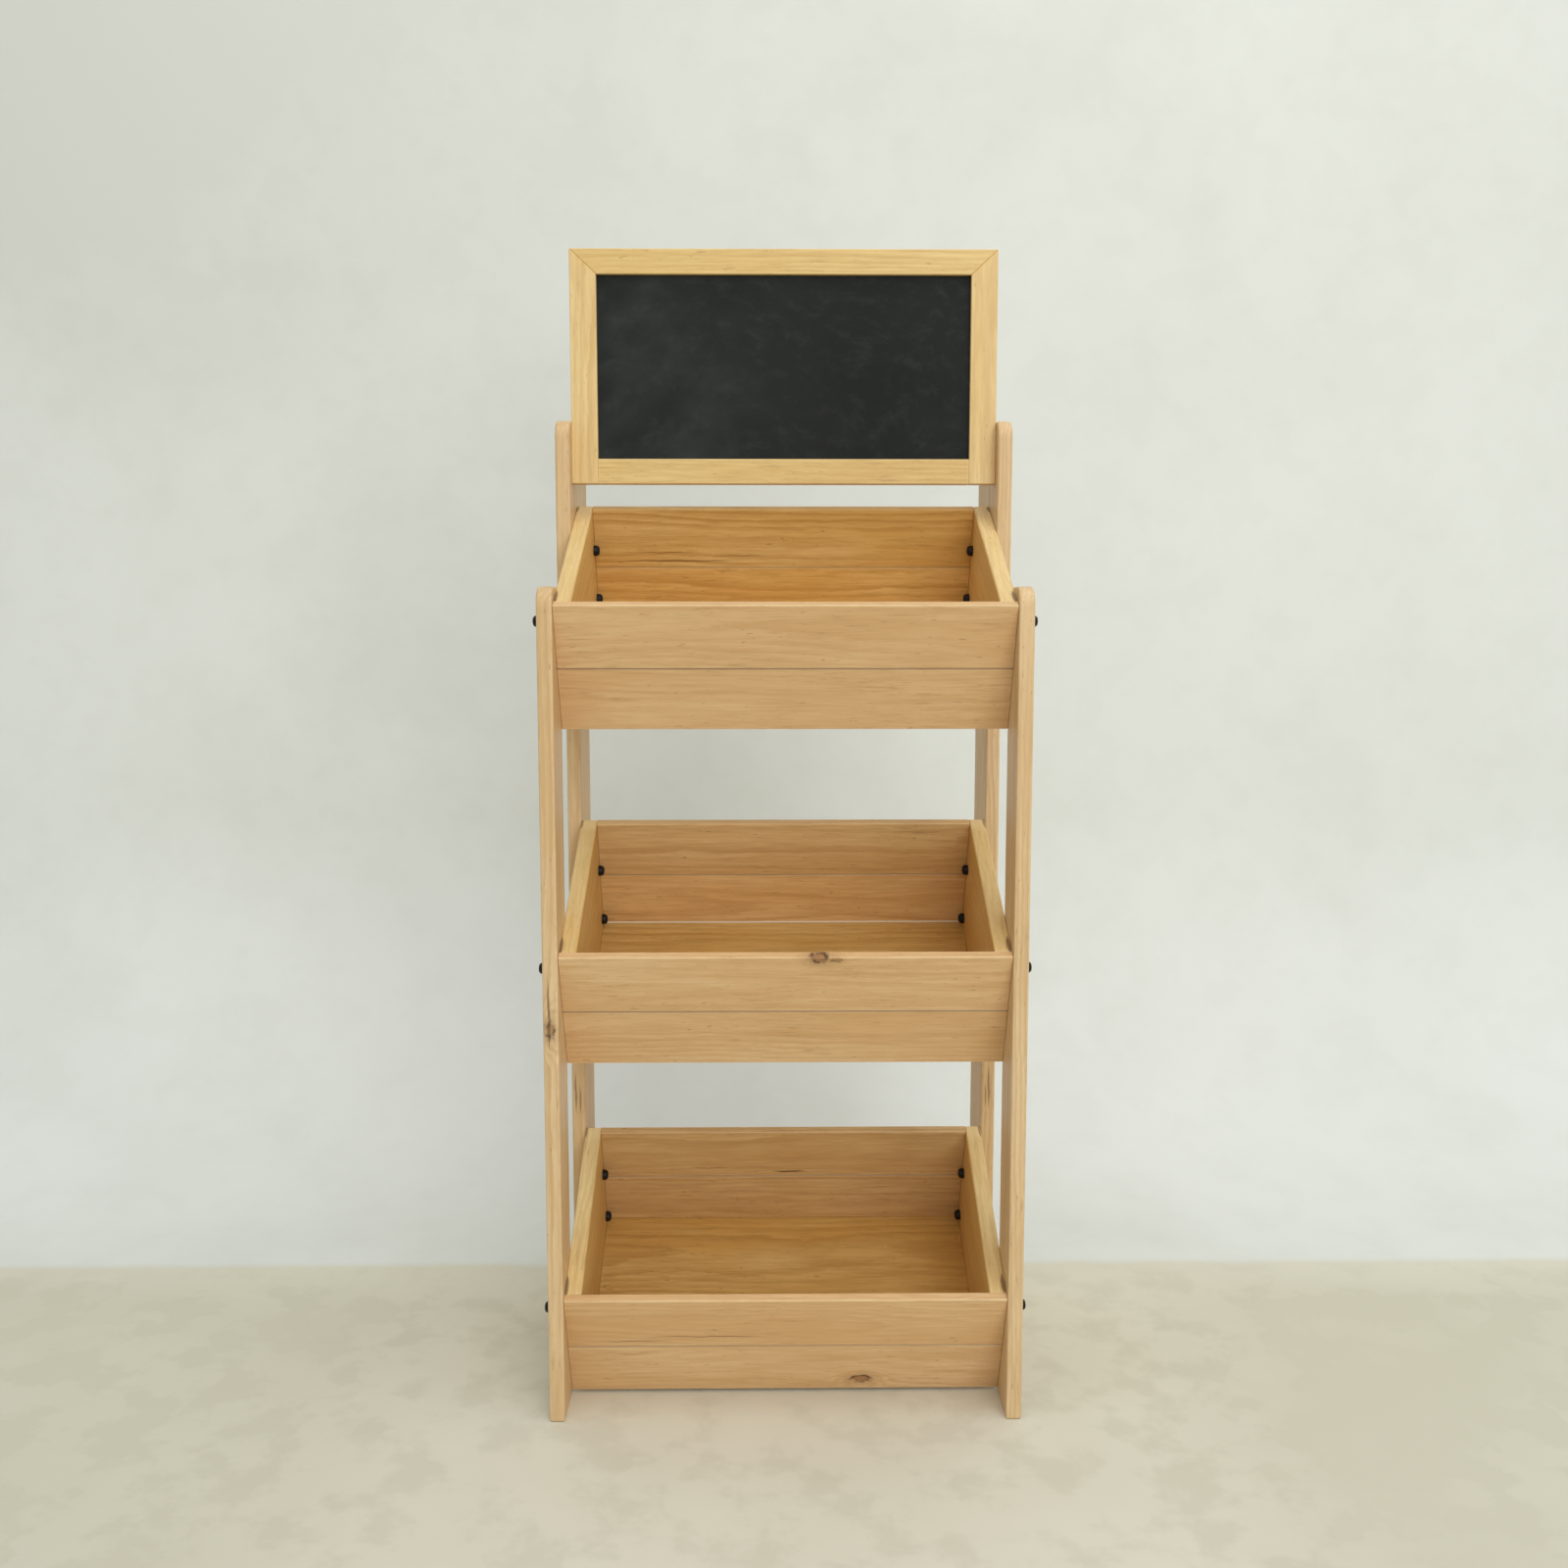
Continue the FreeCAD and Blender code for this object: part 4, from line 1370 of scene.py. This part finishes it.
@dataclass
class Studio:
    """Floor and wall in one sweep, lamps, world and camera."""

    wall_face: float = 0.85
    floor_front: float = -6.0
    paint_edge: float = 0.24
    edge_blur: float = 0.012
    cove: float = 0.52
    cove_steps: int = 40
    reach: float = 7.0
    height: float = 4.5
    sensor: float = 36.0
    lens: float = 34.875
    eye: Tuple[float, float, float] = (-0.0199, -1.684, 0.846)
    pitch: float = math.radians(6.22)
    yaw: float = math.radians(0.67)
    floor_paint: Colour = linear(222, 218, 200)
    wall_paint: Colour = linear(229, 231, 225)
    # Darker paint for the mottle, and for painted shade at the sides and high up.
    mottle_and_shade_paint: Colour = (0.87, 0.865, 0.84)
    mottle_scale: Tuple[float, float, float] = (2.2, 2.2, 2.2)
    fine_scale: Tuple[float, float, float] = (14.0, 14.0, 14.0)
    backdrop: Colour = linear(226, 227, 220)
    glow: Colour = (0.93, 0.96, 0.98)
    surround: float = 0.62
    lamps: Tuple[Lamp, ...] = (
        Lamp("lamp_over", place=(0.5, -1.0, 3.3), aim=(0.0, 0.0, 0.6), size=2.6, power=35.0),
        Lamp("lamp_front", place=(1.5, -4.7, 2.0), aim=(0.0, 0.1, 0.6), size=3.2, power=82.0),
        Lamp("lamp_back", place=(0.5, 4.2, 3.2), aim=(0.0, 0.1, 0.6), size=3.0, power=44.0),
    )

    def build(self) -> None:
        """Make everything that isn't the object."""
        self._sweep()
        for lamp in self.lamps:
            lamp.hang()
        self._world()
        self._camera()
        bpy.context.scene.view_settings.view_transform = "Standard"
        LOG.info("studio made")

    def _sweep(self) -> None:
        """Make the floor that curves up into a wall."""
        deselect()
        bpy.ops.mesh.primitive_plane_add(size=2.0)
        sweep = bpy.context.view_layer.objects.active
        sweep.name = "studio_sweep"
        bpy.ops.object.mode_set(mode="EDIT")
        bpy.ops.transform.resize(value=(self.reach, (self.wall_face - self.floor_front) / 2, 1.0))
        bpy.ops.transform.translate(value=(0.0, (self.wall_face + self.floor_front) / 2, 0.0))
        bpy.ops.mesh.select_mode(type="EDGE")
        self._pick_foot(sweep)
        bpy.ops.mesh.extrude_region_move(TRANSFORM_OT_translate={"value": (0.0, 0.0, self.height)})
        self._pick_foot(sweep)
        bpy.ops.mesh.bevel(offset=self.cove, segments=self.cove_steps, affect="EDGES")
        bpy.ops.object.mode_set(mode="OBJECT")
        bpy.ops.object.transform_apply(location=True, rotation=True, scale=True)
        bpy.ops.object.shade_smooth_by_angle(angle=math.radians(60.0))
        put_on(sweep, self._paper())

    def _pick_foot(self, sweep: bpy.types.Object) -> None:
        """Select only the floor's edge at the wall, in edit mode.

        Args:
            sweep: The piece being modelled.
        """
        bpy.ops.mesh.select_all(action="DESELECT")
        work = bmesh.from_edit_mesh(sweep.data)
        for edge in work.edges:
            ends = [vertex.co for vertex in edge.verts]
            at_wall = min(end.y for end in ends) > self.wall_face - 0.001
            edge.select_set(at_wall and max(end.z for end in ends) < 0.001)
        bmesh.update_edit_mesh(sweep.data)

    def _paper(self) -> bpy.types.Material:
        """Make the plain matt floor and wall, clear when seen from behind.

        Returns:
            The sweep's material.
        """
        material, graph, shader = new_material("studio_paper")
        place = graph.node("ShaderNodeTexCoord").outputs["Object"]
        graph.feed(shader.inputs["Base Color"], self._paint(graph, place))
        graph.feed(shader.inputs["Roughness"], 0.9)
        graph.feed(shader.inputs["Specular IOR Level"], 0.1)
        choose = graph.node("ShaderNodeMixShader")
        graph.feed(choose.inputs[0], graph.node("ShaderNodeNewGeometry").outputs["Backfacing"])
        graph.feed(choose.inputs[1], shader.outputs["BSDF"])
        graph.feed(choose.inputs[2], graph.node("ShaderNodeBsdfTransparent").outputs["BSDF"])
        output = next(item for item in graph.tree.nodes if item.type == "OUTPUT_MATERIAL")
        graph.feed(output.inputs["Surface"], choose.outputs[0])
        return material

    def _paint(self, graph: Graph, place: bpy.types.NodeSocket) -> Source:
        """Wire floor and wall paint, mottled, with painted shade towards the sides and high up.

        Args:
            graph: The material's tree.
            place: Position in the room.

        Returns:
            The colour.
        """
        along, back, up = graph.split(place)
        mottle = graph.noise(place, self.mottle_scale, 4.0, 0.6)
        fine = graph.noise(place, self.fine_scale, 4.0, 0.6)
        ragged = graph.calc("MULTIPLY", graph.calc("SUBTRACT", fine, 0.5), 0.02)
        painted = graph.step(graph.calc("ADD", back, ragged),
                             self.paint_edge - self.edge_blur, self.paint_edge + self.edge_blur)
        paint = graph.mix(painted, self.floor_paint, self.wall_paint)
        worn = graph.mix(1.0, paint, self.mottle_and_shade_paint, "MULTIPLY")
        veins = graph.calc("MULTIPLY", graph.step(fine, 0.46, 0.62), graph.step(back, 0.3, 0.1, 0.12, 0.55))
        patches = graph.calc("MULTIPLY", graph.step(mottle, 0.35, 0.7), 0.4)
        # Painted shade: darker high up towards the left, and at the sides of the floor in front.
        high = graph.calc("MULTIPLY", graph.step(up, 0.9, 1.7), graph.step(along, 0.3, -0.9, 0.4, 0.9))
        painted_shade_aside = graph.step(graph.calc("ABSOLUTE", along), 0.3, 0.6)
        painted_shade_aside = graph.calc("MULTIPLY", painted_shade_aside, graph.step(back, self.paint_edge, 0.1, 0.0, 0.6))
        share = graph.calc("ADD", graph.calc("ADD", patches, veins), graph.calc("ADD", high, painted_shade_aside))
        return graph.mix(share, paint, worn)

    def _world(self) -> None:
        """Make even pale light from all round, and a plain backdrop for the camera."""
        world = bpy.data.worlds.new("studio_world")
        world.use_nodes = True
        world.node_tree.nodes.clear()
        graph = Graph(world.node_tree)
        seen = graph.node("ShaderNodeLightPath").outputs["Is Camera Ray"]
        light = graph.node("ShaderNodeBackground")
        graph.feed(light.inputs["Color"], graph.mix(seen, self.glow, self.backdrop))
        graph.feed(light.inputs["Strength"], graph.step(seen, 0.0, 1.0, self.surround, 1.0))
        output = graph.node("ShaderNodeOutputWorld")
        graph.feed(output.inputs["Surface"], light.outputs["Background"])
        bpy.context.scene.world = world

    def _camera(self) -> None:
        """Put the camera at standing chest height, looking slightly down."""
        data = bpy.data.cameras.new("camera")
        data.sensor_width = self.sensor
        data.lens = self.lens
        data.clip_start = 0.05
        data.clip_end = 60.0
        camera = bpy.data.objects.new("camera", data)
        camera.location = self.eye
        camera.rotation_euler = (math.pi / 2 - self.pitch, 0.0, -self.yaw)
        bpy.context.scene.collection.objects.link(camera)
        bpy.context.scene.camera = camera


def bins() -> Tuple[Bin, ...]:
    """Choose every bin's boards.

    Returns:
        The three bins from the top down, ready to be built.
    """
    return (
        Bin(
            "top", seed=31.0,
            front_upper=PineFinish(
                HONEY, seed=8.2, pith_across=0.01, pith_depth=0.045, ring_width=0.005, wander=0.035,
                groove_shade_below=0.62),
            front_lower=PineFinish(
                HONEY, seed=9.7, pith_across=-0.02, pith_depth=0.05, ring_width=0.0052, wander=0.035,
                groove_shade_above=0.62),
            # Back slats painted lighter, the lower one most, to offset the shade inside the bin.
            back_upper=PineFinish(
                AMBER.lighter(1.07), seed=10.3, pith_across=0.0, pith_depth=0.03, ring_width=0.006,
                wander=0.04, groove_shade_below=0.35, dark_streaks=(
                    DarkStreak(along=-0.12, across=-0.027, length=0.15, opening=0.0009),
                    DarkStreak(along=-0.05, across=-0.021, length=0.07, opening=0.0006),
                    DarkStreak(along=-0.13, across=-0.017, length=0.09, opening=0.0005),
                )),
            back_lower=PineFinish(
                AMBER.lighter(1.17), seed=11.8, pith_across=0.03, pith_depth=0.05, ring_width=0.005,
                groove_shade_above=0.35),
        ),
        Bin(
            "middle", seed=41.0,
            front_upper=PineFinish(
                HONEY, seed=12.4, pith_across=-0.01, pith_depth=0.045, ring_width=0.005, groove_shade_below=0.6,
                knots=(
                    Knot(along=0.034, across=0.0335, size=0.0045, depth=0.005),
                    Knot(along=0.052, across=0.0315, size=0.0022, strength=0.6, depth=0.005),
                )),
            front_lower=PineFinish(
                HONEY, seed=13.1, pith_across=0.02, pith_depth=0.04, ring_width=0.0055, wander=0.035,
                groove_shade_above=0.6),
            # Back slats painted lighter, the lower one most, to offset the shade inside the bin.
            back_upper=PineFinish(
                RUSSET.lighter(1.05), seed=14.6, pith_across=0.01, pith_depth=0.04, ring_width=0.005,
                groove_shade_below=0.5),
            back_lower=PineFinish(
                RUSSET.lighter(1.16), seed=15.9, pith_across=-0.01, pith_depth=0.05, ring_width=0.005,
                # Painted light along the bottom edge of this slat.
                groove_shade_above=0.5, slit_light_height=0.003),
        ),
        Bin(
            "bottom", seed=51.0,
            front_upper=PineFinish(
                HONEY, seed=16.2, pith_across=0.0, pith_depth=0.035, ring_width=0.005, wander=0.045,
                groove_shade_below=0.55, dark_streaks=(
                    DarkStreak(along=-0.09, across=-0.02, length=0.16, opening=0.0007),
                    DarkStreak(along=-0.16, across=-0.027, length=0.09, opening=0.0006),
                )),
            front_lower=PineFinish(
                HONEY, seed=17.5, pith_across=0.02, pith_depth=0.05, ring_width=0.0048, groove_shade_above=0.55,
                knots=(Knot(along=0.083, across=-0.019, size=0.0048, depth=0.005),)),
            back_upper=PineFinish(
                RUSSET, seed=18.3, pith_across=0.01, pith_depth=0.045, ring_width=0.0055, wander=0.035,
                groove_shade_below=0.45, dark_streaks=(
                    DarkStreak(along=0.008, across=-0.028, length=0.05, opening=0.0014, strength=0.85),
                    DarkStreak(along=-0.09, across=-0.022, length=0.06, opening=0.0005),
                )),
            back_lower=PineFinish(
                RUSSET, seed=19.6, pith_across=-0.02, pith_depth=0.05, ring_width=0.005, groove_shade_above=0.45),
        ),
    )


def main() -> None:
    """Build every sub-assembly in order."""
    logging.basicConfig(level=logging.INFO, format="%(name)s: %(message)s")
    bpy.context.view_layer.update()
    SideFrames().build()
    for tilted in bins():
        tilted.build()
    Sign().build()
    steel = BlackedSteel().make()
    for tier in TIERS:
        for facing in Facing:
            ScrewSet(tier, facing, steel).build()
    Studio().build()


if __name__ == "__main__":
    main()
